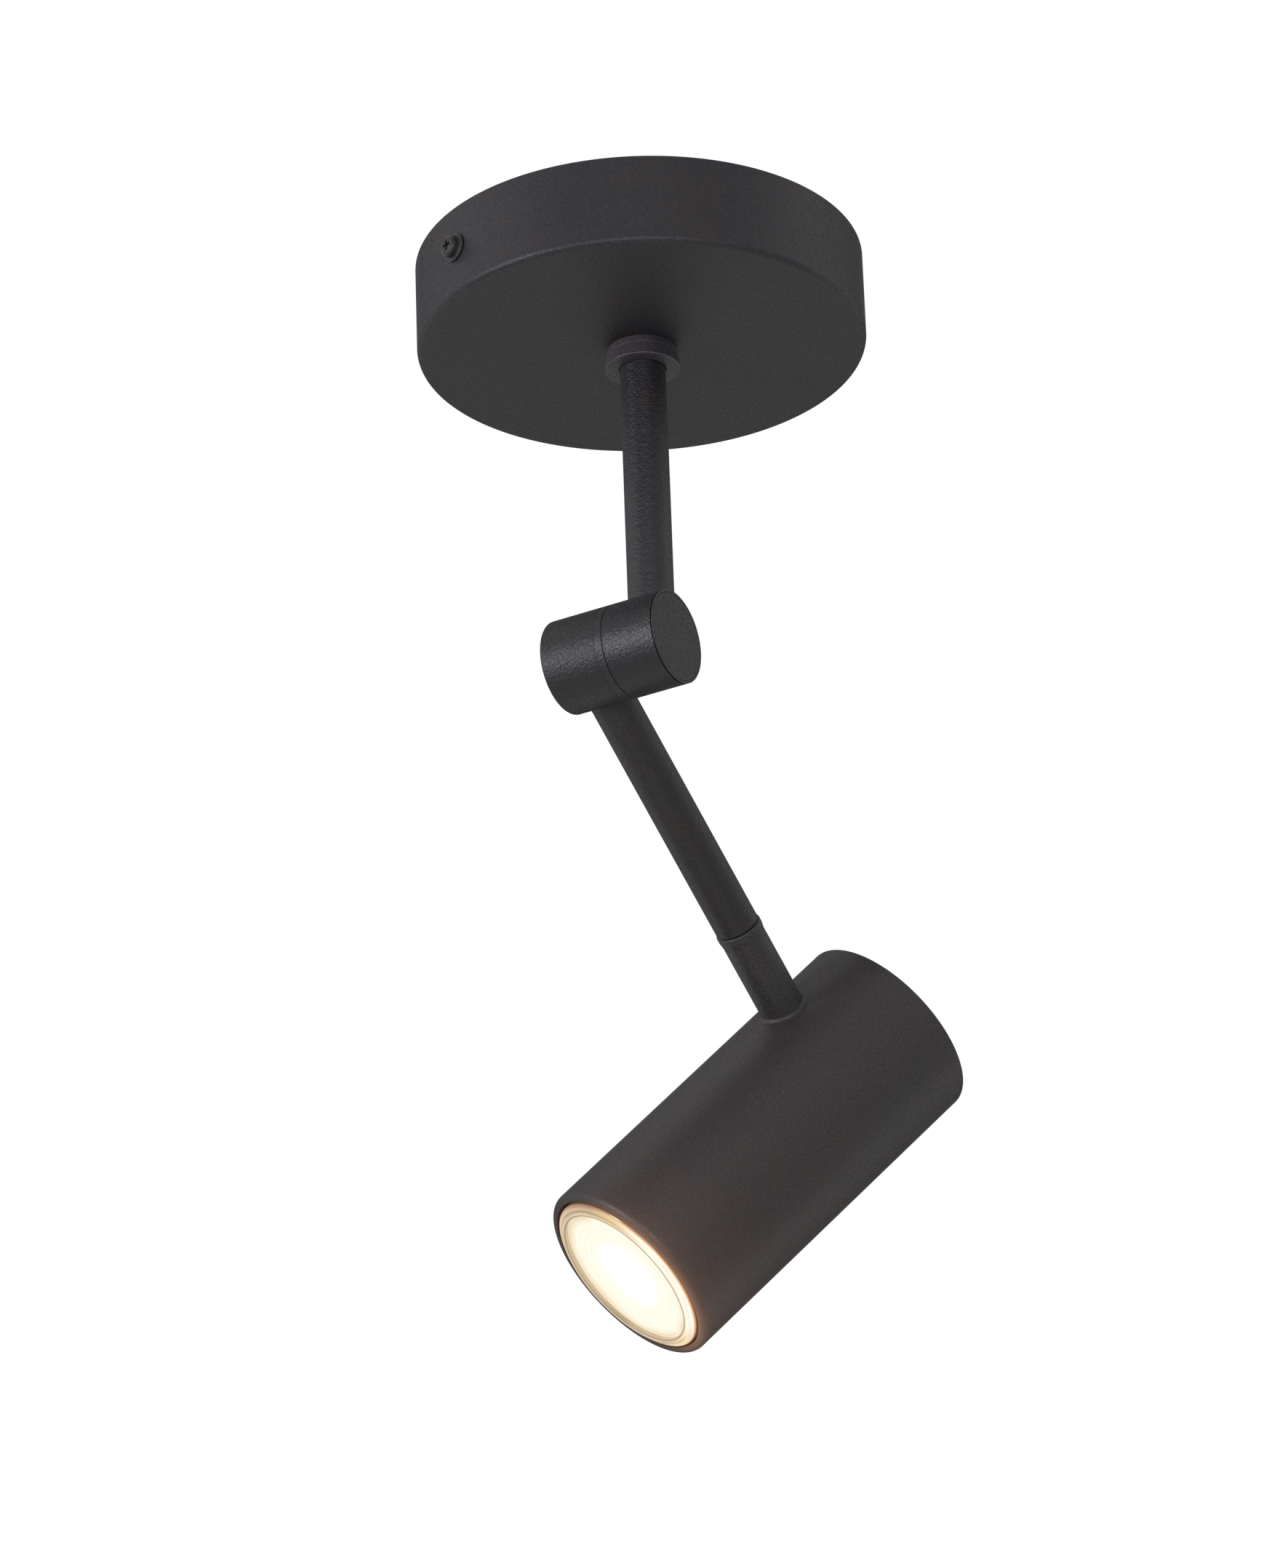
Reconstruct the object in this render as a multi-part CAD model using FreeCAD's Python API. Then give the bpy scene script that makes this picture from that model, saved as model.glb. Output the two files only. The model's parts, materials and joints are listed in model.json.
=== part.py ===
"""Ceiling spot light: a round cup on the ceiling, a straight stem, a barrel knuckle, an arm and a lamp head.

Millimetres. The origin is the centre of the cup's rim, on the ceiling, and +Z points up into the ceiling.
X runs through the two screws in the cup's side. The light is shown with its joints set as the three
angles below say. A piece that turns is modelled in the frame of the piece that carries it:
the knuckle frame has X along the barrel, the arm frame has Z down the arm, and the head frame has
X out of the lamp's front and Z up the neck.
"""
import FreeCAD, Part
import math
import os

Vector = FreeCAD.Vector
Placement = FreeCAD.Placement
Rotation = FreeCAD.Rotation

# Joint settings, degrees
stem_turn = -66.6
arm_tilt = 55.3
head_turn = 120.4

# Joint limits each way from the middle of the travel, degrees
stem_limit = 165.0
knuckle_limit = 90.0
head_limit = 160.0
head_middle = 90.0
stop_spare = 2.0
lamp_twist = 22.0

# Clearances
running_clearance = 0.05
turning_gap = 0.15
washer_gap = 0.2
core_gap = 0.3
overrun = 1.0

# Ceiling cup
cup_diameter = 120.0
cup_height = 25.5
cup_wall = 1.2
cup_edge_radius = 3.0

# Ceiling bracket
bracket_thickness = 1.5
bracket_width = 22.0
bend_radius = 2.0
ear_width = 14.0
ear_clearance = 0.15
ear_below_screw = 6.0
slot_spacing = 70.0
slot_length = 15.0
slot_width = 5.0
cable_hole_diameter = 16.0
tongue_width = 34.0
tongue_reach = 38.0
tongue_corner = 4.0

# Screws in the cup's side
side_screw_drop = 12.0
side_screw_diameter = 4.0
side_screw_clearance = 0.3
side_screw_flange_diameter = 8.0
side_screw_flange = 0.8
side_screw_head_diameter = 5.8
side_screw_head = 2.0
side_screw_past_ear = 1.5
recess_width = 0.9
recess_length = 3.2
recess_depth = 1.4

# Terminal block and earth screw
pole_pitch = 9.6
pole_count = 3
block_width = 17.0
block_base = 7.2
tower_height = 5.8
tower_diameter = 6.6
block_edge_radius = 0.8
block_setback = 1.2
sleeve_diameter = 4.4
sleeve_bore = 3.0
clamp_screw_diameter = 2.6
clamp_screw_length = 7.0
clamp_screw_spacing = 8.6
block_screw_diameter = 3.0
block_screw_head_diameter = 5.6
block_screw_head = 1.8
earth_screw_x = -18.0
earth_screw_diameter = 4.0
earth_screw_head_diameter = 7.4
earth_screw_head = 2.4
earth_washer_diameter = 9.0
earth_washer_height = 0.9

# Collar under the cup and stem bearing
collar_top_diameter = 18.2
collar_diameter = 20.3
collar_ring_height = 2.2
collar_height = 3.8
collar_floor = 0.8
collar_edge_radius = 0.3
spigot_wall = 2.0
spigot_above_nut = 0.5
collar_nut_height = 2.5
collar_nut_wall = 1.5
thrust_washer_height = 0.8
stop_pin_diameter = 2.0
stop_pin_clearance = 0.7
stop_pin_above_washer = 0.9
stop_washer_height = 1.0
stop_washer_margin = 3.0
tab_past_pin = 0.6
spring_washer_height = 0.8
stem_nut_height = 3.0
stem_nut_wall = 2.0
thread_past_nut = 0.8
spindle_room = 1.3
spindle_grip = 14.0

# Tubes of stem, arm and neck
tube_diameter = 12.3
tube_wall = 1.15
stem_reach = 112.15
arm_reach = 88.3

# Knuckle barrel
barrel_diameter = 25.5
barrel_wall = 2.5
upper_edge_radius = 0.5
lower_edge_radius = 0.8
seam_radius = 0.2
cap_thickness = 0.8
cap_rim = 0.7
upper_outer_margin = 0.25
upper_inner_margin = 2.0
lower_outer_margin = 1.15
lower_inner_margin = 2.35
upper_web = 2.2
lower_web = 2.2
friction_ring_height = 2.3
tube_entry = 4.2
pivot_room = 1.0
pivot_wall = 1.1
pivot_head_margin = 2.0
pivot_head = 2.0
pivot_nut_wall = 1.5
pivot_nut_height = 2.0
pivot_washer_height = 0.7
pivot_thread_past_nut = 0.2
spanner_slot_width = 1.6
spanner_slot_depth = 0.8
knuckle_pin_diameter = 1.8
knuckle_pin_clearance = 0.3
knuckle_pin_reach = 1.5

# Swivel between arm and neck
swivel_gap = 0.35
bush_length = 9.0
swivel_bolt_room = 0.55
swivel_bolt_wall = 1.0
swivel_bolt_head = 1.6
swivel_bolt_head_margin = 0.3
swivel_washer_height = 0.6
swivel_bolt_grip = 7.0
plug_length = 10.0
dog_height = 1.4
dog_margin = 0.1
neck_length = 28.0
lip_flare = 0.3
lip_length = 3.6
lip_edge_radius = 0.5

# Lamp head shell
head_diameter = 54.8
head_wall = 1.5
head_front = 80.8
head_rear = 25.7
head_front_edge = 0.5
head_inner_edge = 0.3
head_rear_edge = 0.6
head_rear_inner_edge = 0.5
stub_height = 2.0
stub_fillet = 1.2
seat_depth = 2.8
seat_margin = 1.4
nipple_room = 1.5
nipple_grip = 10.0
nipple_past_nut = 0.8
neck_nut_height = 3.0
neck_nut_wall = 2.0

# Lamp holder and its bracket
holder_bracket_thickness = 1.2
holder_bracket_width = 20.0
holder_bracket_tail = 9.0
holder_bracket_bend = 2.2
holder_bracket_below = 13.0
holder_bracket_hole_margin = 0.6
holder_diameter = 30.0
holder_height = 17.0
holder_edge_radius = 1.0
holder_screw_circle = 9.0
holder_screw_diameter = 2.8
holder_screw_length = 5.0
holder_screw_head_diameter = 5.2
holder_screw_head = 1.8
pin_circle = 5.0
pin_shank_diameter = 3.2
pin_shank_length = 4.4
pin_head_diameter = 4.8
pin_head_length = 2.3
slot_clearance = 0.3
contact_diameter = 6.0
contact_base = 1.0
contact_stud_diameter = 2.4
contact_gap = 0.4
contact_pocket_depth = 4.4

# Lamp
lamp_standout = 1.0
lamp_length = 46.8
lamp_rim_diameter = 48.8
lamp_rim_width = 3.0
lamp_rim_height = 4.2
lamp_rim_edge = 0.8
glass_wall = 1.3
glass_foot_diameter = 28.0
glass_foot_height = 16.0
glass_curve_radius = 18.0
base_neck_diameter = 17.6
base_neck_length = 7.0
base_wall = 1.6
base_floor = 2.0
base_edge_radius = 0.6
lens_setback = 0.3
lens_thickness = 1.8
lens_ring_depth = 0.4
board_thickness = 1.5
chip_diameter = 9.0
chip_height = 1.2
driver_thickness = 1.2

# Cables: one round lead through tubes and joints, single cores at both ends
lead_diameter = 3.8
core_diameter = 1.7
core_offset = 1.0
lead_bend_radius = 4.5
core_rise = 6.0
core_approach = 5.0
round_share = 0.45
core_angles = (-150, 90, -30)

# Shares: a curve's place along the piece that it shapes
glass_shoulder_share = 0.7
glass_shoulder_radius_share = 0.86
lens_rings_share = (0.86, 0.64, 0.42, 0.24)

# Places worked out from the sizes above
UP = Vector(0, 0, 1)
ORIGIN = Vector(0, 0, 0)
ACROSS = Vector(1, 0, 0)
FULL_TURN = 360.0
tube_radius = tube_diameter / 2
tube_bore_radius = tube_radius - tube_wall
lead_radius = lead_diameter / 2
spindle_radius = tube_bore_radius
spindle_bore_radius = lead_radius + spindle_room
spigot_radius = spindle_radius + spigot_wall
stem_nut_flats = 2 * (spindle_radius + stem_nut_wall)
collar_nut_flats = 2 * (spigot_radius + collar_nut_wall)
stop_pin_radius = stop_pin_diameter / 2
stop_pin_circle = collar_nut_flats / math.sqrt(3) + stop_pin_clearance + stop_pin_radius
pivot_bore_radius = lead_radius + pivot_room
pivot_radius = pivot_bore_radius + pivot_wall
pivot_head_radius = pivot_radius + pivot_head_margin
pivot_nut_flats = 2 * (pivot_radius + pivot_nut_wall)
swivel_bolt_bore_radius = lead_radius + swivel_bolt_room
swivel_bolt_radius = swivel_bolt_bore_radius + swivel_bolt_wall
nipple_bore_radius = lead_radius + nipple_room
neck_nut_flats = 2 * (tube_bore_radius + neck_nut_wall)
cup_radius = cup_diameter / 2
cup_inner_radius = cup_radius - cup_wall
cup_floor = -(cup_height - cup_wall)
ear_face = math.sqrt(cup_inner_radius**2 - (ear_width / 2) ** 2) - ear_clearance
ear_inner_face = ear_face - bracket_thickness
barrel_radius = barrel_diameter / 2
chamber_radius = barrel_radius - barrel_wall
tube_end_radius = barrel_radius - tube_entry
knuckle_pin_circle = (chamber_radius + pivot_nut_flats / math.sqrt(3)) / 2
knuckle_pin_radius = knuckle_pin_diameter / 2
upper_outer = tube_radius + upper_outer_margin + cap_thickness
upper_inner = -(tube_radius + upper_inner_margin)
ring_right = upper_inner - turning_gap
ring_left = ring_right - friction_ring_height
lower_inner = ring_left
arm_axis_x = lower_inner - lower_inner_margin - tube_radius
lower_outer = arm_axis_x - tube_radius - lower_outer_margin - cap_thickness
collar_top = -cup_height
collar_shoulder = collar_top - collar_ring_height
collar_bottom = collar_shoulder - collar_height
collar_radius = collar_diameter / 2
collar_top_radius = collar_top_diameter / 2
ring_share = collar_ring_height / (collar_ring_height + collar_height)
collar_waist_radius = collar_top_radius + (collar_radius - collar_top_radius) * ring_share
bearing_floor = collar_shoulder - collar_floor
spigot_top = cup_floor + collar_nut_height + spigot_above_nut
stop_washer_bottom = spigot_top + washer_gap
stem_washer_bottom = stop_washer_bottom + stop_washer_height
stem_nut_bottom = stem_washer_bottom + spring_washer_height
stem_nut_top = stem_nut_bottom + stem_nut_height
spindle_top = stem_nut_top + thread_past_nut
stem_tube_top = bearing_floor - turning_gap - thrust_washer_height
knuckle_height = -stem_reach
head_radius = head_diameter / 2
head_inner_radius = head_radius - head_wall
head_distance = arm_reach + neck_length + head_radius
neck_top = arm_reach + swivel_gap
plug_face = neck_top + dog_height
stub_top = head_radius + stub_height
seat_height = head_inner_radius - seat_depth
nut_seat = seat_height - holder_bracket_thickness
nipple_end = nut_seat - neck_nut_height - nipple_past_nut
lamp_rim = head_front + lamp_standout
lamp_foot = lamp_rim - lamp_length
lamp_rim_radius = lamp_rim_diameter / 2
lens_radius = lamp_rim_radius - lamp_rim_width
lens_front = lamp_rim - lens_setback
lens_seat = lens_front - lens_thickness
holder_face = lamp_foot - slot_clearance
holder_back = holder_face - holder_height
plate_back = holder_back - holder_bracket_thickness
pivot_head_face = lower_inner - lower_web
pivot_washer_left = upper_inner + upper_web + washer_gap
pivot_nut_left = pivot_washer_left + pivot_washer_height
pivot_end = pivot_nut_left + pivot_nut_height + pivot_thread_past_nut
block_top = -bracket_thickness
block_bottom = block_top - block_base - tower_height
block_near = tongue_reach - block_setback - block_width
sleeve_height = block_top - block_base / 2
poles = [(i - (pole_count - 1) / 2) * pole_pitch for i in range(pole_count)]

knuckle_frame = Placement(Vector(0, 0, knuckle_height), Rotation(UP, stem_turn))
arm_frame = knuckle_frame * Placement(Vector(arm_axis_x, 0, 0), Rotation(ACROSS, 180 + arm_tilt))
head_frame = arm_frame * Placement(
    Vector(0, 0, head_distance), Rotation(UP, head_turn) * Rotation(ACROSS, 180)
)


def outline(corners):
    """Closed outline in the XZ plane from corners given as (across, along, corner radius)."""
    points = [Vector(across, 0, along) for across, along, radius in corners]
    count = len(points)
    enter, leave, arcs = [], [], []
    for i, corner in enumerate(points):
        radius = corners[i][2]
        back = (points[i - 1] - corner).normalize()
        ahead = (points[(i + 1) % count] - corner).normalize()
        half = back.getAngle(ahead) / 2
        trim = radius / math.tan(half)
        enter.append(corner + back * trim)
        leave.append(corner + ahead * trim)
        arcs.append(None)
        if radius > 0:
            inward = (back + ahead).normalize()
            middle = corner + inward * (radius / math.sin(half) - radius)
            arcs[i] = Part.Arc(enter[i], middle, leave[i]).toShape()
    edges = []
    for i in range(count):
        if arcs[i]:
            edges.append(arcs[i])
        edges.append(Part.LineSegment(leave[i], enter[(i + 1) % count]).toShape())
    return Part.Wire(edges)


def spin(corners):
    """Solid turned about Z from an outline of (radius, height, corner radius)."""
    return Part.Face(outline(corners)).revolve(ORIGIN, UP, FULL_TURN)


def pressed(corners, width):
    """Sheet bent in the XZ plane, with its width centred on Y."""
    face = Part.Face(outline(corners))
    face.translate(Vector(0, -width / 2, 0))
    return face.extrude(Vector(0, width, 0))


def rod(radius, low, high, x=0, y=0):
    """Upright cylinder between two heights."""
    return Part.makeCylinder(radius, high - low, Vector(x, y, low))


def pipe(outer, inner, low, high):
    """Upright ring or tube between two heights."""
    return spin([(inner, low, 0), (outer, low, 0), (outer, high, 0), (inner, high, 0)])


def block(x_size, y_size, low, high, x=0, y=0):
    """Upright box centred on (x, y)."""
    corner = Vector(x - x_size / 2, y - y_size / 2, low)
    return Part.makeBox(x_size, y_size, high - low, corner)


def hex_nut(flats, bore, low, high):
    """Hexagon nut with its corners chamfered on both faces."""
    corner = flats / math.sqrt(3)
    chamfer = (corner - flats / 2) / math.sqrt(3)
    points = []
    for i in range(7):
        angle = math.pi * i / 3
        points.append(Vector(corner * math.cos(angle), corner * math.sin(angle), low))
    prism = Part.Face(Part.makePolygon(points)).extrude(Vector(0, 0, high - low))
    turned = spin([
        (bore, low, 0), (flats / 2, low, 0), (corner, low + chamfer, 0),
        (corner, high - chamfer, 0), (flats / 2, high, 0), (bore, high, 0),
    ])
    return prism.common(turned)


def ring_sector(outer, inner, low, high, middle, spread):
    """Part of a flat ring, spread degrees wide, centred on an angle."""
    face = Part.Face(outline([(inner, low, 0), (outer, low, 0), (outer, high, 0), (inner, high, 0)]))
    sector = face.revolve(ORIGIN, UP, spread)
    sector.rotate(ORIGIN, UP, middle - spread / 2)
    return sector


def arc_slot(circle, half_width, low, high, start, end):
    """Curved slot with round ends, from one angle to another."""
    slot = ring_sector(circle + half_width, circle - half_width, low, high, (start + end) / 2, end - start)
    for angle in (start, end):
        x = circle * math.cos(math.radians(angle))
        y = circle * math.sin(math.radians(angle))
        slot = slot.fuse(rod(half_width, low, high, x, y))
    return slot.removeSplitter()


def is_upright(edge):
    """True for an edge that runs along Z."""
    box = edge.BoundBox
    return box.ZLength > box.XLength + box.YLength


def turned(shape, axis, angle):
    """Copy of a shape turned about an axis through the origin."""
    copy = shape.copy()
    copy.rotate(ORIGIN, axis, angle)
    return copy


def moved(shape, x=0, y=0, z=0):
    """Copy of a shape moved."""
    copy = shape.copy()
    copy.translate(Vector(x, y, z))
    return copy


def along_x(shape):
    """Lay a shape that was turned about Z along X: heights become X, and X becomes -Z."""
    return turned(shape, Vector(0, 1, 0), 90)


def placed(shape, frame):
    """Put a shape that was modelled in a joint's frame into the light's frame."""
    copy = shape.copy()
    copy.Placement = frame * copy.Placement
    return copy


def round_bends(points):
    """Path of straight runs joined by arcs as large as the runs beside them allow."""
    edges = []
    start = points[0]
    for before, corner, after in zip(points, points[1:], points[2:]):
        back = before - corner
        ahead = after - corner
        trim = round_share * min(back.Length, ahead.Length)
        half = back.getAngle(ahead) / 2
        back.normalize()
        ahead.normalize()
        enter = corner + back * trim
        leave = corner + ahead * trim
        radius = trim * math.tan(half)
        inward = (back + ahead).normalize()
        middle = corner + inward * (radius / math.sin(half) - radius)
        edges.append(Part.LineSegment(start, enter).toShape())
        edges.append(Part.Arc(enter, middle, leave).toShape())
        start = leave
    edges.append(Part.LineSegment(start, points[-1]).toShape())
    return Part.Wire(edges)


def cable(points, diameter):
    """Round cable along a path of points."""
    path = round_bends(points) if len(points) > 2 else Part.makePolygon(points)
    heading = points[1] - points[0]
    section = Part.Wire(Part.makeCircle(diameter / 2, points[0], heading))
    return path.makePipeShell([section], True, False)


# Ceiling mount


def ceiling_cup():
    """Drawn cup, open to the ceiling, with the collar's hole and two screw holes."""
    cup = spin([
        (spigot_radius, -cup_height, 0),
        (cup_radius, -cup_height, cup_edge_radius),
        (cup_radius, 0, 0),
        (cup_inner_radius, 0, 0),
        (cup_inner_radius, cup_floor, max(cup_edge_radius - cup_wall, 0)),
        (spigot_radius, cup_floor, 0),
    ])
    hole_radius = side_screw_diameter / 2 + side_screw_clearance
    drill = along_x(rod(hole_radius, -cup_radius - overrun, cup_radius + overrun))
    return cup.cut(moved(drill, z=-side_screw_drop))


def mounting_bracket():
    """Strip with an ear bent down at each end and a tongue that carries the terminal block."""
    tip = -(side_screw_drop + ear_below_screw)
    inner_bend = bend_radius - bracket_thickness
    strip = pressed([
        (-ear_face, 0, bend_radius), (ear_face, 0, bend_radius),
        (ear_face, tip, 0), (ear_inner_face, tip, 0),
        (ear_inner_face, -bracket_thickness, inner_bend), (-ear_inner_face, -bracket_thickness, inner_bend),
        (-ear_inner_face, tip, 0), (-ear_face, tip, 0),
    ], ear_width)
    middle_length = slot_spacing + slot_length + bracket_width / 2
    middle = block(middle_length, bracket_width, -bracket_thickness, 0)
    tongue = block(tongue_width, tongue_reach, -bracket_thickness, 0, y=tongue_reach / 2)
    corners = [e for e in tongue.Edges if is_upright(e) and e.CenterOfMass.y > tongue_reach / 2]
    tongue = tongue.makeFillet(tongue_corner, corners)
    bracket = strip.fuse([middle, tongue]).removeSplitter()
    cuts = [rod(cable_hole_diameter / 2, -bracket_thickness - overrun, overrun)]
    for side in (-1, 1):
        cuts.append(ceiling_slot(side * slot_spacing / 2))
    ear_hole = along_x(rod(side_screw_diameter / 2, -cup_radius, cup_radius))
    cuts.append(moved(ear_hole, z=-side_screw_drop))
    low = -bracket_thickness - overrun
    cuts.append(rod(block_screw_diameter / 2, low, overrun, block_screw_x(), block_middle()))
    cuts.append(rod(earth_screw_diameter / 2, low, overrun, earth_screw_x))
    for cutter in cuts:
        bracket = bracket.cut(cutter)
    return bracket


def ceiling_slot(x):
    """Long hole for a ceiling screw, running along the strip."""
    radius = slot_width / 2
    straight = slot_length - slot_width
    slot = block(straight, slot_width, -bracket_thickness - overrun, overrun, x)
    for side in (-1, 1):
        slot = slot.fuse(rod(radius, -bracket_thickness - overrun, overrun, x + side * straight / 2))
    return slot.removeSplitter()


def block_middle():
    """Middle of the terminal block along Y."""
    return block_near + block_width / 2


def block_screw_x():
    """The block's own screw goes between the first two poles."""
    return (poles[0] + poles[1]) / 2


def cup_screws():
    """Two washer-head screws with a cross recess, through the cup into the bracket's ears."""
    head_top = side_screw_flange + side_screw_head
    screw = spin([
        (0, -(cup_radius - ear_inner_face) - side_screw_past_ear, 0),
        (side_screw_diameter / 2, -(cup_radius - ear_inner_face) - side_screw_past_ear, 0),
        (side_screw_diameter / 2, 0, 0),
        (side_screw_flange_diameter / 2, 0, 0),
        (side_screw_flange_diameter / 2, side_screw_flange, side_screw_flange / 3),
        (side_screw_head_diameter / 2, side_screw_flange, 0),
        (side_screw_head_diameter / 2, head_top, side_screw_head / 2),
        (0, head_top, 0),
    ])
    for turn in (0, 90):
        bar = block(recess_length, recess_width, head_top - recess_depth, head_top + overrun)
        screw = screw.cut(turned(bar, UP, turn))
    screw = moved(along_x(screw), cup_radius, 0, -side_screw_drop)
    return Part.Compound([screw, turned(screw, UP, 180)])


def terminal_block():
    """Three-pole block: a base with a wire hole for each pole and a screw tower over each clamp."""
    length = pole_pitch * pole_count
    low = block_top - block_base
    base = block(length, block_width, low, block_top, y=block_middle())
    base = base.makeFillet(block_edge_radius, [e for e in base.Edges if is_upright(e)])
    towers = []
    for x in poles:
        for y in clamp_places():
            towers.append(rod(tower_diameter / 2, block_bottom, low, x, y))
    body = base.fuse(towers)
    for x in poles:
        hole = turned(rod(sleeve_diameter / 2, -block_width, block_width), ACROSS, 90)
        body = body.cut(moved(hole, x, block_middle(), sleeve_height))
        for y in clamp_places():
            body = body.cut(rod(clamp_screw_diameter / 2, block_bottom - overrun, sleeve_height, x, y))
    fixing = rod(block_screw_diameter / 2, low - overrun, block_top + overrun)
    return body.cut(moved(fixing, block_screw_x(), block_middle()))


def clamp_places():
    """The two clamp screws of a pole, along Y."""
    return [block_middle() - clamp_screw_spacing / 2, block_middle() + clamp_screw_spacing / 2]


def terminal_sleeves():
    """Brass wire sleeves in the block, drilled where the clamp screws come in."""
    sleeves = []
    for x in poles:
        sleeve = pipe(sleeve_diameter / 2, sleeve_bore / 2, -block_width / 2, block_width / 2)
        sleeve = moved(turned(sleeve, ACROSS, 90), x, block_middle(), sleeve_height)
        for y in clamp_places():
            sleeve = sleeve.cut(rod(clamp_screw_diameter / 2, block_bottom, sleeve_height, x, y))
        sleeves.append(sleeve)
    return Part.Compound(sleeves)


def terminal_screws():
    """Slotted clamp screws, two for each pole, their tips just inside the sleeves."""
    tip = sleeve_height - sleeve_bore / 4
    screws = []
    for x in poles:
        for y in clamp_places():
            screw = rod(clamp_screw_diameter / 2, tip - clamp_screw_length, tip, x, y)
            slot_top = tip - clamp_screw_length + recess_width
            slot = block(clamp_screw_diameter + overrun, recess_width / 2, block_bottom, slot_top, x, y)
            screws.append(screw.cut(slot))
    return Part.Compound(screws)


def block_screw():
    """Screw that holds the block to the tongue."""
    seat = block_top - block_base
    shank = rod(block_screw_diameter / 2, seat, 0, block_screw_x(), block_middle())
    head = rod(block_screw_head_diameter / 2, seat - block_screw_head, seat, block_screw_x(), block_middle())
    slot = block(
        block_screw_head_diameter + overrun, recess_width,
        seat - block_screw_head - overrun, seat - block_screw_head / 2, block_screw_x(), block_middle(),
    )
    return shank.fuse(head).cut(slot)


def earth_washer():
    """Washer that traps the earth wire."""
    low = -bracket_thickness - earth_washer_height
    washer = pipe(earth_washer_diameter / 2, earth_screw_diameter / 2, low, -bracket_thickness)
    return moved(washer, earth_screw_x)


def earth_screw():
    """Earth screw in the strip, its tip level with the strip's upper face."""
    seat = -bracket_thickness - earth_washer_height
    low = seat - earth_screw_head
    screw = spin([
        (0, low, 0),
        (earth_screw_head_diameter / 2, low, earth_screw_head / 3),
        (earth_screw_head_diameter / 2, seat, 0),
        (earth_screw_diameter / 2, seat, 0),
        (earth_screw_diameter / 2, 0, 0),
        (0, 0, 0),
    ])
    for turn in (0, 90):
        bar = block(recess_length, recess_width, low - overrun, low + recess_depth)
        screw = screw.cut(turned(bar, UP, turn))
    return moved(screw, earth_screw_x)


def collar_ring():
    """Upper tier of the conical collar, between the cup and the bush."""
    return spin([
        (spigot_radius, collar_shoulder, 0),
        (collar_waist_radius, collar_shoulder, collar_edge_radius),
        (collar_top_radius, collar_top, 0),
        (spigot_radius, collar_top, 0),
    ])


def stem_collar():
    """Bush that the stem turns in: a threaded spigot through the cup and a conical lower tier."""
    bore = spindle_radius + running_clearance
    mouth = tube_radius + turning_gap
    return spin([
        (bore, bearing_floor, 0),
        (mouth, bearing_floor, 0),
        (mouth, collar_bottom, 0),
        (collar_radius, collar_bottom, collar_edge_radius),
        (collar_waist_radius, collar_shoulder, collar_edge_radius),
        (spigot_radius, collar_shoulder, 0),
        (spigot_radius, spigot_top, 0),
        (bore, spigot_top, 0),
    ])


def collar_nut():
    """Nut that clamps the collar to the cup's floor."""
    return hex_nut(collar_nut_flats, spigot_radius, cup_floor, cup_floor + collar_nut_height)


def swivel_stop_pin():
    """Fixed pin on the cup's floor that the stop washer's tab runs against."""
    top = stem_washer_bottom + stop_pin_above_washer
    return rod(stop_pin_radius, cup_floor, top, y=stop_pin_circle)


def core(number):
    """One core from the end of the stem's lead to its pole in the terminal block."""
    turn = math.radians(core_angles[number])
    x = core_offset * math.cos(turn)
    y = core_offset * math.sin(turn)
    low = spindle_top + core_gap
    pole = poles[number]
    return cable([
        Vector(x, y, low),
        Vector(x, y, low + core_rise),
        Vector(pole, block_near - core_approach, sleeve_height),
        Vector(pole, block_near, sleeve_height),
    ], core_diameter)


# Stem


def stem_tube():
    """Straight tube from the collar into the knuckle's upper half."""
    return pipe(tube_radius, tube_bore_radius, knuckle_height + tube_end_radius, stem_tube_top)


def stem_spindle():
    """Hollow threaded spindle, held in the tube and turning in the collar."""
    low = stem_tube_top - spindle_grip
    return pipe(spindle_radius, spindle_bore_radius, low, spindle_top)


def thrust_washer():
    """Plain washer between the tube's end and the collar."""
    return pipe(tube_radius, spindle_radius, stem_tube_top, stem_tube_top + thrust_washer_height)


def stop_washer():
    """Washer keyed to the spindle, with a tab that meets the stop pin at both ends of the travel."""
    pin_spread = 2 * math.degrees(math.asin(stop_pin_radius / stop_pin_circle))
    spread = FULL_TURN - 2 * stem_limit - pin_spread - stop_spare
    reach = stop_pin_circle + stop_pin_radius + tab_past_pin
    top = stop_washer_bottom + stop_washer_height
    disc = pipe(spindle_radius + stop_washer_margin, spindle_radius, stop_washer_bottom, top)
    tab = ring_sector(reach, spindle_radius, stop_washer_bottom, top, stem_turn - 90, spread)
    return disc.fuse(tab).removeSplitter()


def stem_spring_washer():
    """Spring washer that gives the stem its drag."""
    return pipe(stem_nut_flats / 2, spindle_radius, stem_washer_bottom, stem_nut_bottom)


def stem_nut():
    """Nut on the spindle, inside the cup."""
    return hex_nut(stem_nut_flats, spindle_radius, stem_nut_bottom, stem_nut_top)


def barrel_half(inner, outer, web, edge_radius, bore):
    """Half of the barrel along X: a web at the joint, a chamber, and a seat for the end cap."""
    way = 1 if outer > inner else -1
    cap_seat = outer - way * cap_thickness
    half = spin([
        (bore, inner, 0),
        (barrel_radius, inner, seam_radius),
        (barrel_radius, outer, edge_radius),
        (barrel_radius - cap_rim, outer, 0),
        (barrel_radius - cap_rim, cap_seat, 0),
        (chamber_radius, cap_seat, 0),
        (chamber_radius, inner + way * web, 0),
        (bore, inner + way * web, 0),
    ])
    return along_x(half)


def end_cap(outer, way):
    """Disc pressed into the barrel's open end, flush with the rim."""
    inner = outer - way * cap_thickness
    return along_x(spin([
        (0, inner, 0), (barrel_radius - cap_rim, inner, 0),
        (barrel_radius - cap_rim, outer, seam_radius), (0, outer, 0),
    ]))


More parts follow.
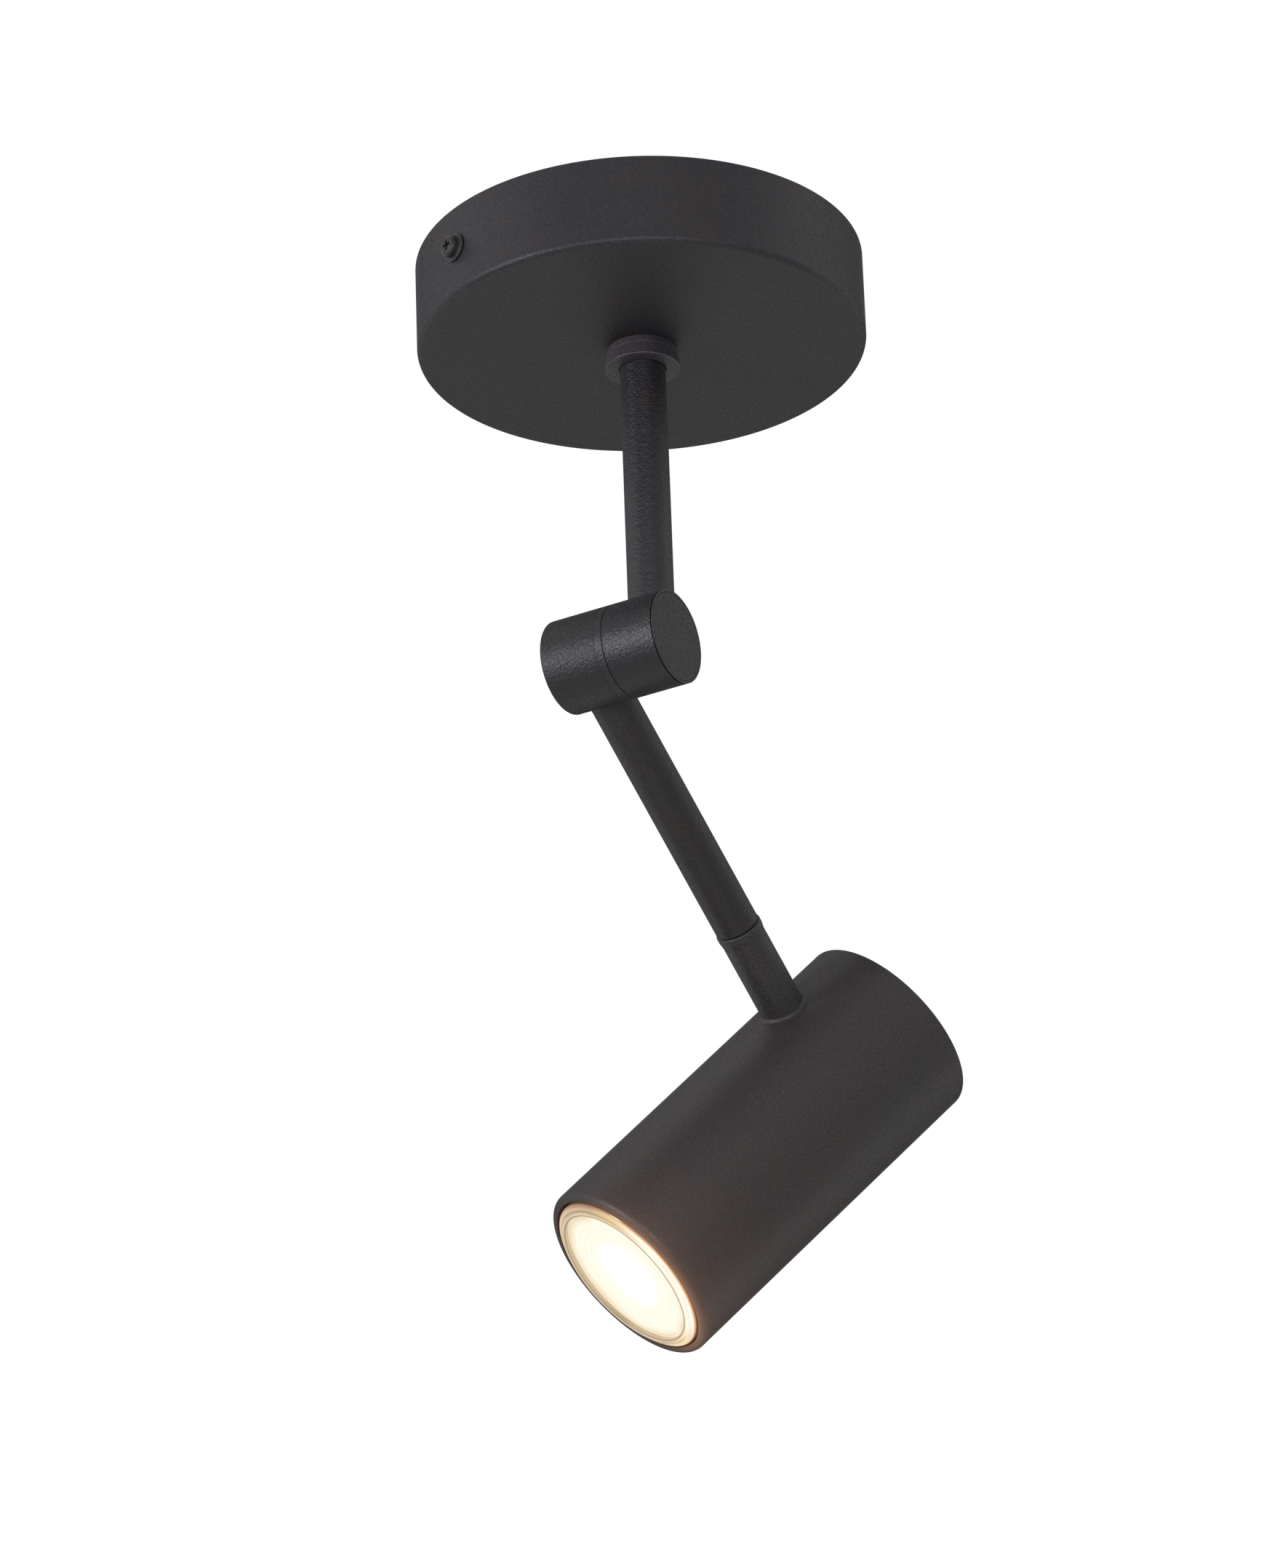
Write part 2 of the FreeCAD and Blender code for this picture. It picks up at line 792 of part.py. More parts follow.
def knuckle_upper():
    """Barrel half on the stem, with the curved slot that limits the tilt."""
    bore = pivot_radius + running_clearance
    half = barrel_half(upper_inner, upper_outer, upper_web, upper_edge_radius, bore)
    half = half.cut(rod(tube_radius, tube_end_radius, barrel_radius + overrun))
    half_width = knuckle_pin_radius + knuckle_pin_clearance
    depth = knuckle_pin_reach + knuckle_pin_clearance
    spare = knuckle_limit + stop_spare / 2
    slot = arc_slot(knuckle_pin_circle, half_width, upper_inner - overrun, upper_inner + depth, -spare, spare)
    return placed(half.cut(along_x(slot)), knuckle_frame)


def upper_end_cap():
    """End cap beside the stem."""
    return placed(end_cap(upper_outer, 1), knuckle_frame)


def stem_lead():
    """Lead through the stem, turning into the knuckle's hollow pivot."""
    middle = Vector(0, 0, knuckle_height)
    end = knuckle_frame.multVec(Vector(upper_inner, 0, 0))
    return lead_elbow(Vector(0, 0, spindle_top), middle, end)


def lead_elbow(start, corner, end):
    """Lead with one round bend, as large as the knuckle's chamber leaves room for."""
    back = (start - corner).normalize()
    ahead = (end - corner).normalize()
    half = back.getAngle(ahead) / 2
    trim = lead_bend_radius / math.tan(half)
    inward = (back + ahead).normalize()
    middle = corner + inward * (lead_bend_radius / math.sin(half) - lead_bend_radius)
    enter = corner + back * trim
    leave = corner + ahead * trim
    edges = [
        Part.LineSegment(start, enter).toShape(),
        Part.Arc(enter, middle, leave).toShape(),
        Part.LineSegment(leave, end).toShape(),
    ]
    section = Part.Wire(Part.makeCircle(lead_radius, start, corner - start))
    return Part.Wire(edges).makePipeShell([section], True, False)


# Arm, in the arm frame: X along the barrel, Z down the arm


def knuckle_lower():
    """Barrel half on the arm, with the holes for the pivot and the stop pin."""
    half = barrel_half(lower_inner, lower_outer, lower_web, lower_edge_radius, pivot_radius)
    half = moved(half, -arm_axis_x)
    half = half.cut(rod(tube_radius, tube_end_radius, barrel_radius + overrun))
    half = half.cut(stop_pin_rod(lower_inner - lower_web, lower_inner))
    return placed(half, arm_frame)


def stop_pin_rod(left, right):
    """Rod along the barrel on the stop pin's line, on the arm's side of the pivot."""
    pin = along_x(rod(knuckle_pin_radius, left, right))
    return moved(pin, -arm_axis_x, 0, knuckle_pin_circle)


def lower_end_cap():
    """End cap beside the arm."""
    return placed(moved(end_cap(lower_outer, -1), -arm_axis_x), arm_frame)


def friction_ring():
    """Ring between the two halves, turning with the arm."""
    ring = spin([
        (pivot_radius, ring_left, 0), (barrel_radius, ring_left, seam_radius),
        (barrel_radius, ring_right, seam_radius), (pivot_radius, ring_right, 0),
    ])
    ring = moved(along_x(ring), -arm_axis_x)
    return placed(ring.cut(stop_pin_rod(ring_left - overrun, ring_right + overrun)), arm_frame)


def knuckle_stop_pin():
    """Pin pressed into the lower half, running in the upper half's curved slot."""
    pin = stop_pin_rod(lower_inner - lower_web, upper_inner + knuckle_pin_reach)
    return placed(pin, arm_frame)


def knuckle_spindle():
    """Hollow shouldered pivot: head in the lower half, thread through the upper half."""
    back = pivot_head_face - pivot_head
    pivot = spin([
        (pivot_bore_radius, back, 0), (pivot_head_radius, back, 0),
        (pivot_head_radius, pivot_head_face, 0), (pivot_radius, pivot_head_face, 0),
        (pivot_radius, pivot_end, 0), (pivot_bore_radius, pivot_end, 0),
    ])
    slot_length = 2 * pivot_head_radius + overrun
    slot = block(slot_length, spanner_slot_width, back - overrun, back + spanner_slot_depth)
    return placed(moved(along_x(pivot.cut(slot)), -arm_axis_x), arm_frame)


def knuckle_spring_washer():
    """Spring washer that loads the friction ring."""
    washer = pipe(pivot_nut_flats / 2, pivot_radius, pivot_washer_left, pivot_nut_left)
    return placed(moved(along_x(washer), -arm_axis_x), arm_frame)


def knuckle_nut():
    """Nut on the pivot, in the upper half's chamber."""
    nut = hex_nut(pivot_nut_flats, pivot_radius, pivot_nut_left, pivot_nut_left + pivot_nut_height)
    return placed(moved(along_x(nut), -arm_axis_x), arm_frame)


def arm_tube():
    """Tube from the lower half to the swivel."""
    return placed(pipe(tube_radius, tube_bore_radius, tube_end_radius, arm_reach), arm_frame)


def dog_spread():
    """Width in degrees of each of the two dogs that stop the head's swivel."""
    return (FULL_TURN - 2 * head_limit - stop_spare) / 2


def arm_end_bush():
    """Bearing bush fixed in the arm's end, with one of the two dogs on its face."""
    bore = swivel_bolt_radius + running_clearance
    bush = pipe(tube_bore_radius, bore, arm_reach - bush_length, arm_reach)
    dog = ring_sector(
        tube_bore_radius - dog_margin, bore + dog_margin, arm_reach - overrun, arm_reach + dog_height,
        head_middle + 180, dog_spread(),
    )
    return placed(bush.fuse(dog).removeSplitter(), arm_frame)


def arm_lead():
    """Lead from the knuckle's pivot down the arm to the swivel."""
    start = Vector(upper_inner - core_gap - arm_axis_x, 0, 0)
    end = Vector(0, 0, arm_reach)
    return placed(lead_elbow(start, ORIGIN, end), arm_frame)


# Head: neck pieces in the arm frame, the rest in the head frame


def neck_tube():
    """Neck, the arm's own tube size, with a slightly flared round lip at the swivel."""
    foot = head_distance - stub_top
    lip = tube_radius + lip_flare
    tube = spin([
        (tube_bore_radius, foot, 0), (tube_radius, foot, 0),
        (tube_radius, neck_top + lip_length, lip_length),
        (lip, neck_top + lip_length / 2, lip_length / 2),
        (lip, neck_top, lip_edge_radius),
        (tube_bore_radius, neck_top, 0),
    ])
    return placed(tube, arm_frame)


def neck_plug():
    """Threaded plug in the neck's top, with the dog that meets the bush's dog."""
    bore = swivel_bolt_radius
    plug = pipe(tube_bore_radius, bore, plug_face, plug_face + plug_length)
    dog = ring_sector(
        tube_bore_radius, bore + running_clearance + dog_margin, neck_top, plug_face + overrun,
        head_turn, dog_spread(),
    )
    return placed(plug.fuse(dog).removeSplitter(), arm_frame)


def swivel_bolt():
    """Hollow bolt that the neck hangs on: head inside the arm, thread in the neck's plug."""
    shank = swivel_bolt_radius
    head = tube_bore_radius - swivel_bolt_head_margin
    seat = arm_reach - bush_length - washer_gap - swivel_washer_height
    end = plug_face + swivel_bolt_grip
    bolt = spin([
        (swivel_bolt_bore_radius, seat - swivel_bolt_head, 0), (head, seat - swivel_bolt_head, 0),
        (head, seat, 0), (shank, seat, 0), (shank, end, 0), (swivel_bolt_bore_radius, end, 0),
    ])
    return placed(bolt, arm_frame)


def swivel_washer():
    """Spring washer under the swivel bolt's head."""
    seat = arm_reach - bush_length - washer_gap - swivel_washer_height
    outer = tube_bore_radius - swivel_bolt_head_margin
    return placed(pipe(outer, swivel_bolt_radius, seat, seat + swivel_washer_height), arm_frame)


def neck_nipple():
    """Hollow threaded nipple that joins neck and shell."""
    high = stub_top + nipple_grip
    return placed(pipe(tube_bore_radius, nipple_bore_radius, nipple_end, high), head_frame)


def neck_nut():
    """Nut inside the shell that clamps the holder's bracket to its seat."""
    nut = hex_nut(neck_nut_flats, tube_bore_radius, nut_seat - neck_nut_height, nut_seat)
    return placed(nut, head_frame)


def head_shell():
    """Cast shell, open at the front, with a stub for the neck outside and a flat seat inside."""
    shell = along_x(spin([
        (0, -head_rear, 0), (head_radius, -head_rear, head_rear_edge),
        (head_radius, head_front, head_front_edge), (head_inner_radius, head_front, head_inner_edge),
        (head_inner_radius, head_wall - head_rear, head_rear_inner_edge), (0, head_wall - head_rear, 0),
    ]))
    middle_radius = (head_radius + head_inner_radius) / 2
    core_body = along_x(rod(middle_radius, -head_rear, head_front))
    seat = rod(neck_nut_flats / math.sqrt(3) + seat_margin, seat_height, head_radius).common(core_body)
    stub = rod(tube_radius, seat_height, stub_top)
    shell = shell.fuse([stub, seat]).removeSplitter()
    root = [edge for edge in shell.Edges if is_stub_root(edge)]
    shell = shell.makeFillet(stub_fillet, root)
    return placed(shell.cut(rod(tube_bore_radius, 0, stub_top + overrun)), head_frame)


def is_stub_root(edge):
    """True for the curve where the stub leaves the outside of the shell."""
    on_stub, on_shell = [], []
    for point in edge.discretize(5):
        on_stub.append(abs(math.hypot(point.x, point.y) - tube_radius) < running_clearance)
        on_shell.append(abs(math.hypot(point.y, point.z) - head_radius) < running_clearance)
    return all(on_stub) and all(on_shell)


def holder_bracket():
    """Bent strip under the neck's nut, with an upright plate that carries the lamp holder."""
    inner_bend = holder_bracket_bend - holder_bracket_thickness
    strip = pressed([
        (-holder_bracket_tail, nut_seat, 0), (plate_back, nut_seat, inner_bend),
        (plate_back, -holder_bracket_below, 0), (holder_back, -holder_bracket_below, 0),
        (holder_back, seat_height, holder_bracket_bend), (-holder_bracket_tail, seat_height, 0),
    ], holder_bracket_width)
    strip = strip.cut(rod(tube_bore_radius, nut_seat - overrun, seat_height + overrun))
    hole_radius = pin_circle + core_diameter / 2 + holder_bracket_hole_margin
    strip = strip.cut(along_x(rod(hole_radius, plate_back - overrun, holder_back + overrun)))
    for side in (-1, 1):
        hole = along_x(rod(holder_screw_diameter / 2, plate_back - overrun, holder_back + overrun))
        strip = strip.cut(moved(hole, z=side * holder_screw_circle))
    return placed(strip, head_frame)


def lamp_holder():
    """Ceramic twist holder: two curved slots, each with an undercut for a pin's head."""
    body = spin([
        (0, holder_back, 0), (holder_diameter / 2, holder_back, holder_edge_radius),
        (holder_diameter / 2, holder_face, holder_edge_radius), (0, holder_face, 0),
    ])
    shank = pin_shank_diameter / 2 + slot_clearance
    head = pin_head_diameter / 2 + slot_clearance
    undercut_front = lamp_foot - pin_shank_length + slot_clearance
    undercut_back = lamp_foot - pin_shank_length - pin_head_length - slot_clearance
    pocket_back = undercut_back - contact_pocket_depth
    screw_end = holder_back + holder_screw_length
    for side in (0, 180):
        start = side + 90
        cuts = [
            arc_slot(pin_circle, shank, undercut_back, holder_face + overrun, start, start + lamp_twist),
            arc_slot(pin_circle, head, undercut_back, undercut_front, start, start + lamp_twist),
            pole_rod(head, undercut_back, holder_face + overrun, start + lamp_twist),
            pole_rod(contact_diameter / 2, pocket_back, undercut_back, start),
            pole_rod(core_diameter / 2, holder_back - overrun, pocket_back, start),
            pole_rod(holder_screw_diameter / 2, holder_back - overrun, screw_end, side, holder_screw_circle),
        ]
        for cutter in cuts:
            body = body.cut(cutter)
    return placed(along_x(body), head_frame)


def pole_rod(radius, low, high, angle, circle=pin_circle):
    """Upright cylinder on a circle round the lamp's axis."""
    turn = math.radians(angle)
    return rod(radius, low, high, circle * math.cos(turn), circle * math.sin(turn))


def holder_contacts():
    """Two contact studs behind the pins."""
    pin_end = lamp_foot - pin_shank_length - pin_head_length
    back = pin_end - slot_clearance - contact_pocket_depth
    studs = []
    for angle in (90, 270):
        base = pole_rod(contact_diameter / 2, back, back + contact_base, angle)
        stud = pole_rod(contact_stud_diameter / 2, back, pin_end - contact_gap, angle)
        studs.append(along_x(base.fuse(stud)))
    return placed(Part.Compound(studs), head_frame)


def holder_screws():
    """Two screws from behind the bracket into the holder."""
    screws = []
    for angle in (0, 180):
        end = holder_back + holder_screw_length
        head_top = plate_back - holder_screw_head
        shank = pole_rod(holder_screw_diameter / 2, plate_back, end, angle, holder_screw_circle)
        head = pole_rod(holder_screw_head_diameter / 2, head_top, plate_back, angle, holder_screw_circle)
        screws.append(along_x(shank.fuse(head)))
    return placed(Part.Compound(screws), head_frame)


def head_lead():
    """Lead through the swivel and the neck into the shell."""
    start = Vector(0, 0, arm_reach + core_gap)
    end = Vector(0, 0, head_distance - nipple_end)
    return placed(cable([start, end], lead_diameter), arm_frame)


def lamp_core(side):
    """One core from the lead's end to the back of the lamp holder."""
    y = side * core_offset
    top = nipple_end - core_gap
    return placed(cable([
        Vector(0, y, top),
        Vector(0, y, top - core_rise),
        Vector(holder_back - core_approach, side * pin_circle, 0),
        Vector(holder_back, side * pin_circle, 0),
    ], core_diameter), head_frame)


# Lamp, turned about the head's axis


def lamp_base():
    """Twist base: a narrow neck that widens into the glass, hollow for the driver."""
    flare = lamp_foot + base_neck_length + (glass_foot_height - base_neck_length) / 2
    rim = lamp_foot + glass_foot_height
    neck = base_neck_diameter / 2
    foot = glass_foot_diameter / 2
    base = spin([
        (0, lamp_foot, 0), (neck, lamp_foot, base_edge_radius),
        (neck, lamp_foot + base_neck_length, base_wall), (foot, flare, base_wall),
        (foot, rim, 0), (foot - base_wall, rim, 0),
        (foot - base_wall, flare + base_wall / 2, base_edge_radius),
        (neck - base_wall, lamp_foot + base_neck_length + base_wall / 2, base_edge_radius),
        (neck - base_wall, lamp_foot + base_floor, 0), (0, lamp_foot + base_floor, 0),
    ])
    return placed(along_x(base), head_frame)


def lamp_pins():
    """Two headed bayonet pins."""
    pins = []
    neck_end = lamp_foot - pin_shank_length
    for angle in (90, 270):
        shank = pole_rod(pin_shank_diameter / 2, neck_end, lamp_foot, angle)
        head = pole_rod(pin_head_diameter / 2, neck_end - pin_head_length, neck_end, angle)
        pins.append(along_x(shank.fuse(head)))
    return placed(Part.Compound(pins), head_frame)


def lamp_glass():
    """Reflector glass: a curved bowl with a broad rim round the lens."""
    foot_height = lamp_foot + glass_foot_height
    foot = glass_foot_diameter / 2
    rim_foot = lamp_rim - lamp_rim_height
    shoulder_height = foot_height + (rim_foot - foot_height) * glass_shoulder_share
    shoulder = lamp_rim_radius * glass_shoulder_radius_share
    glass = spin([
        (foot, foot_height, 0), (shoulder, shoulder_height, glass_curve_radius),
        (lamp_rim_radius, rim_foot, glass_wall), (lamp_rim_radius, lamp_rim, lamp_rim_edge),
        (lens_radius, lamp_rim, 0), (lens_radius, lens_seat, 0),
        (lens_radius - glass_wall, lens_seat, 0),
        (shoulder - glass_wall, shoulder_height, glass_curve_radius - glass_wall),
        (foot - base_wall, foot_height, 0),
    ])
    return placed(along_x(glass), head_frame)


def lamp_lens():
    """Front lens with concentric steps."""
    corners = [(0, lens_seat, 0), (lens_radius, lens_seat, 0), (lens_radius, lens_front, 0)]
    height = lens_front
    for share in lens_rings_share:
        corners.append((lens_radius * share, height, 0))
        height -= lens_ring_depth / 2
        corners.append((lens_radius * share, height, 0))
    corners.append((0, height, 0))
    return placed(along_x(spin(corners)), head_frame)


def led_board():
    """Round board with the light chip under its dome, on the base's rim."""
    rim = lamp_foot + glass_foot_height
    inner = glass_foot_diameter / 2 - base_wall
    board = spin([
        (0, rim, 0), (inner, rim, 0), (inner, rim + board_thickness, 0),
        (chip_diameter / 2, rim + board_thickness, 0),
        (chip_diameter / 2, rim + board_thickness + chip_height, chip_height / 2),
        (0, rim + board_thickness + chip_height, 0),
    ])
    return placed(along_x(board), head_frame)


def led_driver():
    """Driver board across the hollow of the base's neck."""
    radius = base_neck_diameter / 2 - base_wall
    middle = lamp_foot + (base_floor + base_neck_length) / 2
    return placed(along_x(rod(radius, middle, middle + driver_thickness)), head_frame)


PIECES = {
    "ceiling_cup": ceiling_cup,
    "mounting_bracket": mounting_bracket,
    "cup_screws": cup_screws,
    "terminal_block": terminal_block,
    "terminal_sleeves": terminal_sleeves,
    "terminal_screws": terminal_screws,
    "block_screw": block_screw,
    "earth_washer": earth_washer,
    "earth_screw": earth_screw,
    "collar_ring": collar_ring,
    "stem_collar": stem_collar,
    "collar_nut": collar_nut,
    "swivel_stop_pin": swivel_stop_pin,
    "live_core": lambda: core(0),
    "earth_core": lambda: core(1),
    "neutral_core": lambda: core(2),
    "stem_tube": stem_tube,
    "stem_spindle": stem_spindle,
    "thrust_washer": thrust_washer,
    "stop_washer": stop_washer,
    "stem_spring_washer": stem_spring_washer,
    "stem_nut": stem_nut,
    "knuckle_upper": knuckle_upper,
    "upper_end_cap": upper_end_cap,
    "stem_lead": stem_lead,
    "knuckle_lower": knuckle_lower,
    "lower_end_cap": lower_end_cap,
    "friction_ring": friction_ring,
    "knuckle_spindle": knuckle_spindle,
    "knuckle_spring_washer": knuckle_spring_washer,
    "knuckle_nut": knuckle_nut,
    "knuckle_stop_pin": knuckle_stop_pin,
    "arm_tube": arm_tube,
    "arm_end_bush": arm_end_bush,
    "arm_lead": arm_lead,
    "neck_tube": neck_tube,
    "neck_plug": neck_plug,
    "swivel_bolt": swivel_bolt,
    "swivel_washer": swivel_washer,
    "neck_nipple": neck_nipple,
    "neck_nut": neck_nut,
    "head_shell": head_shell,
    "holder_bracket": holder_bracket,
    "lamp_holder": lamp_holder,
    "holder_contacts": holder_contacts,
    "holder_screws": holder_screws,
    "head_lead": head_lead,
    "lamp_live_core": lambda: lamp_core(1),
    "lamp_neutral_core": lambda: lamp_core(-1),
    "lamp_base": lamp_base,
    "lamp_pins": lamp_pins,
    "lamp_glass": lamp_glass,
    "lamp_lens": lamp_lens,
    "led_board": led_board,
    "led_driver": led_driver,
}


def say_place(name, point, axis):
    """Print a joint's point and axis in the light's frame."""
    place = ", ".join(f"{value:.5f}" for value in point)
    way = ", ".join(f"{value:.8f}" for value in axis)
    print(f"{name}: point [{place}] mm, axis [{way}]")


def main():
    os.makedirs("parts", exist_ok=True)
    for name, make in PIECES.items():
        make().exportStep(f"parts/{name}.step")
    say_place("stem_swivel", Vector(0, 0, collar_bottom), UP)
    say_place("knuckle_tilt", knuckle_frame.Base, knuckle_frame.Rotation.multVec(ACROSS))
    say_place("head_swivel", arm_frame.multVec(Vector(0, 0, arm_reach)), arm_frame.Rotation.multVec(UP))
    say_place("lamp_twist", head_frame.multVec(Vector(lamp_foot, 0, 0)), head_frame.Rotation.multVec(ACROSS))
    print("travel, degrees:", [-stem_limit - stem_turn, stem_limit - stem_turn],
          [-knuckle_limit - arm_tilt, knuckle_limit - arm_tilt],
          [head_middle - head_limit - head_turn, head_middle + head_limit - head_turn], [0, lamp_twist])


if __name__ == "__main__":
    main()
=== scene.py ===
"""Looks of a black ceiling spot light: cup, collar, stem, barrel knuckle, arm, neck, head and lit lamp.

Sizes are in millimetres and are turned into metres by MM. The sub-assemblies stand by the frame's joints,
and pieces that keep their shape are copied from the frame.
"""

import json
import logging
import math
from dataclasses import dataclass, replace
from enum import Enum
from typing import Iterable, Optional, Sequence

import bmesh
import bpy
from mathutils import Matrix, Vector


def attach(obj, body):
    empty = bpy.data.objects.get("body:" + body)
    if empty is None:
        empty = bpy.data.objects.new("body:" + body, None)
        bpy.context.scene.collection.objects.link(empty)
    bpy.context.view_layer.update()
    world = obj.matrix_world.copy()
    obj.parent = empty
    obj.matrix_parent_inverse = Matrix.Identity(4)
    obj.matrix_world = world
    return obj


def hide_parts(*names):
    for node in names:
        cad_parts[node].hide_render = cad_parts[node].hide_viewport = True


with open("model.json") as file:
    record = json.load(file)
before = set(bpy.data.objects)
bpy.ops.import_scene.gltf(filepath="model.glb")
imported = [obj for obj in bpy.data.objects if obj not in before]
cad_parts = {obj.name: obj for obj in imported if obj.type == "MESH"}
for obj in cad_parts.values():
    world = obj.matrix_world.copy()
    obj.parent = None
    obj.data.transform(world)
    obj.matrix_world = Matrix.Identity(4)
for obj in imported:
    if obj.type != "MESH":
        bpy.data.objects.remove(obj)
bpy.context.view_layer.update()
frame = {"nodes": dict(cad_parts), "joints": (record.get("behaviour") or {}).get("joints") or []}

MM = 0.001
TINY = 1e-6
FULL_TURN = 2 * math.pi
LOG = logging.getLogger("spot_light")

Colour = tuple[float, float, float]
Stops = tuple[tuple[float, Colour], ...]
Range = tuple[float, float]

# Parts of a noise's values that are stretched over a whole range
WIDE: Range = (0.3, 0.7)
MIDDLE: Range = (0.35, 0.65)
NARROW: Range = (0.38, 0.62)
PEAKS: Range = (0.45, 0.7)


class Body(Enum):
    """The rigid bodies of the frame."""

    CEILING = "ceiling_mount"
    STEM = "stem"
    ARM = "arm"
    HEAD = "head"
    LAMP = "lamp"


class Slot(Enum):
    """The record's material slots."""

    BLACK = "black_coat"
    SCREW = "black_screw"
    ZINC = "zinc_steel"
    BRASS = "bare_brass"
    NICKEL = "nickel_pin"
    NYLON = "white_nylon"
    CERAMIC = "cream_ceramic"
    SHEATH = "white_sheath"
    BROWN = "brown_core"
    BLUE = "blue_core"
    EARTH = "earth_core_stripe"
    BASE = "lamp_white"
    GLASS = "lamp_clear"
    LENS = "lamp_front"
    BOARD = "light_board"
    DRIVER = "driver_board"


# Node trees


class Value:
    """One output of a node tree, with arithmetic that adds math nodes."""

    def __init__(self, graph: "Graph", socket: bpy.types.NodeSocket) -> None:
        """Keep the output and the tree that it belongs to."""
        self.graph = graph
        self.socket = socket

    def math(self, operation: str, *others: object) -> "Value":
        """Add a math node.

        Args:
            operation: the node's operation.
            others: the further operands, as values or numbers.

        Returns:
            The node's result.
        """
        node = self.graph.add("ShaderNodeMath", operation=operation)
        for index, operand in enumerate((self, *others)):
            self.graph.feed(node.inputs[index], operand)
        return Value(self.graph, node.outputs[0])

    def __add__(self, other: object) -> "Value":
        """Sum."""
        return self.math("ADD", other)

    def __sub__(self, other: object) -> "Value":
        """Difference."""
        return self.math("SUBTRACT", other)

    def __mul__(self, other: object) -> "Value":
        """Product."""
        return self.math("MULTIPLY", other)

    def __truediv__(self, other: object) -> "Value":
        """Quotient."""
        return self.math("DIVIDE", other)

    def span(
        self, low: float, high: float, out_low: float = 0.0, out_high: float = 1.0, smooth: bool = False
    ) -> "Value":
        """Map a range onto another, clamped.

        Args:
            low: start of the range read.
            high: end of the range read.
            out_low: result at the start.
            out_high: result at the end.
            smooth: ease in and out.

        Returns:
            The mapped value.
        """
        style = "SMOOTHSTEP" if smooth else "LINEAR"
        node = self.graph.add("ShaderNodeMapRange", interpolation_type=style)
        for index, operand in enumerate((self, low, high, out_low, out_high)):
            self.graph.feed(node.inputs[index], operand)
        return Value(self.graph, node.outputs[0])


class Graph:
    """A node tree being built."""

    def __init__(self, tree: bpy.types.NodeTree) -> None:
        """Start on an empty tree."""
        self.tree = tree

    def add(self, kind: str, **settings: object) -> bpy.types.Node:
        """Add a node.

        Args:
            kind: the node's type.
            settings: values for its properties.

        Returns:
            The new node.
        """
        node = self.tree.nodes.new(kind)
        for name, value in settings.items():
            setattr(node, name, value)
        return node

    def feed(self, socket: bpy.types.NodeSocket, operand: object) -> None:
        """Link a value to an input, or set the input to a number.

        Args:
            socket: the input.
            operand: the value, output or number.
        """
        if isinstance(operand, Value):
            self.tree.links.new(operand.socket, socket)
        elif isinstance(operand, bpy.types.NodeSocket):
            self.tree.links.new(operand, socket)
        else:
            socket.default_value = operand

    def make(
        self, kind: str, output: int | str = 0, settings: Optional[dict] = None, **inputs: object
    ) -> Value:
        """Add a node with named inputs.

        Args:
            kind: the node's type.
            output: name or place of the output to return.
            settings: values for its properties.
            inputs: values for its inputs, with spaces in their names as underscores.

        Returns:
            The chosen output.
        """
        node = self.add(kind, **(settings or {}))
        for name, operand in inputs.items():
            self.feed(node.inputs[name.replace("_", " ")], operand)
        return Value(self, node.outputs[output])

    def mixed(self, factor: object, first: object, second: object) -> Value:
        """Blend two colours.

        Args:
            factor: share of the second colour.
            first: one colour.
            second: the other colour.

        Returns:
            The blend.
        """
        node = self.add("ShaderNodeMix", data_type="RGBA")
        sockets = {s.identifier: s for s in node.inputs}
        self.feed(sockets["Factor_Float"], factor)
        self.feed(sockets["A_Color"], first)
        self.feed(sockets["B_Color"], second)
        result = next(s for s in node.outputs if s.identifier == "Result_Color")
        return Value(self, result)

    def parts(self, vector: Value) -> tuple[Value, Value, Value]:
        """Take a vector apart.

        Args:
            vector: the vector.

        Returns:
            Its X, Y and Z.
        """
        node = self.add("ShaderNodeSeparateXYZ")
        self.feed(node.inputs[0], vector)
        x, y, z = (Value(self, output) for output in node.outputs)
        return x, y, z

    def ramp(self, place: Value, stops: Stops) -> Value:
        """Colour that changes along a number from 0 to 1.

        Args:
            place: the number.
            stops: places and their colours, in order.

        Returns:
            The colour.
        """
        node = self.add("ShaderNodeValToRGB")
        elements = node.color_ramp.elements
        while len(elements) < len(stops):
            elements.new(1.0)
        for element, (spot, colour) in zip(elements, stops):
            element.position = spot
            element.color = opaque(colour)
        self.feed(node.inputs["Fac"], place)
        return Value(self, node.outputs["Color"])


# Finishes

TURNED_MAP = "turned"
LENS_SHARE = "lens_share"
LENS_SHADOW = "lens_shadow"

# Painted light across the lamp's rim from its outer side to the lens, one table each for away from its
# painted bright side, beside it and on it; the dark stop at 0.725 in each is painted shade
RIM_DIM: Stops = (
    (0.0, (0.05, 0.03, 0.018)), (0.36, (0.09, 0.05, 0.03)), (0.41, (0.4, 0.19, 0.085)),
    (0.46, (0.5, 0.32, 0.17)), (0.54, (0.62, 0.44, 0.25)), (0.58, (0.36, 0.23, 0.13)),
    (0.63, (0.57, 0.42, 0.24)), (0.7, (0.7, 0.55, 0.34)), (0.725, (0.2, 0.13, 0.08)),
    (0.755, (0.52, 0.39, 0.24)), (0.98, (0.72, 0.59, 0.39)),
)
RIM_HALF_LIT: Stops = (
    (0.0, (0.06, 0.035, 0.02)), (0.36, (0.12, 0.06, 0.03)), (0.41, (0.75, 0.36, 0.14)),
    (0.45, (0.92, 0.72, 0.4)), (0.56, (0.8, 0.58, 0.24)), (0.6, (0.62, 0.42, 0.17)),
    (0.66, (0.88, 0.68, 0.38)), (0.7, (0.66, 0.5, 0.3)), (0.725, (0.22, 0.14, 0.08)),
    (0.755, (0.53, 0.4, 0.25)), (0.98, (0.73, 0.6, 0.4)),
)
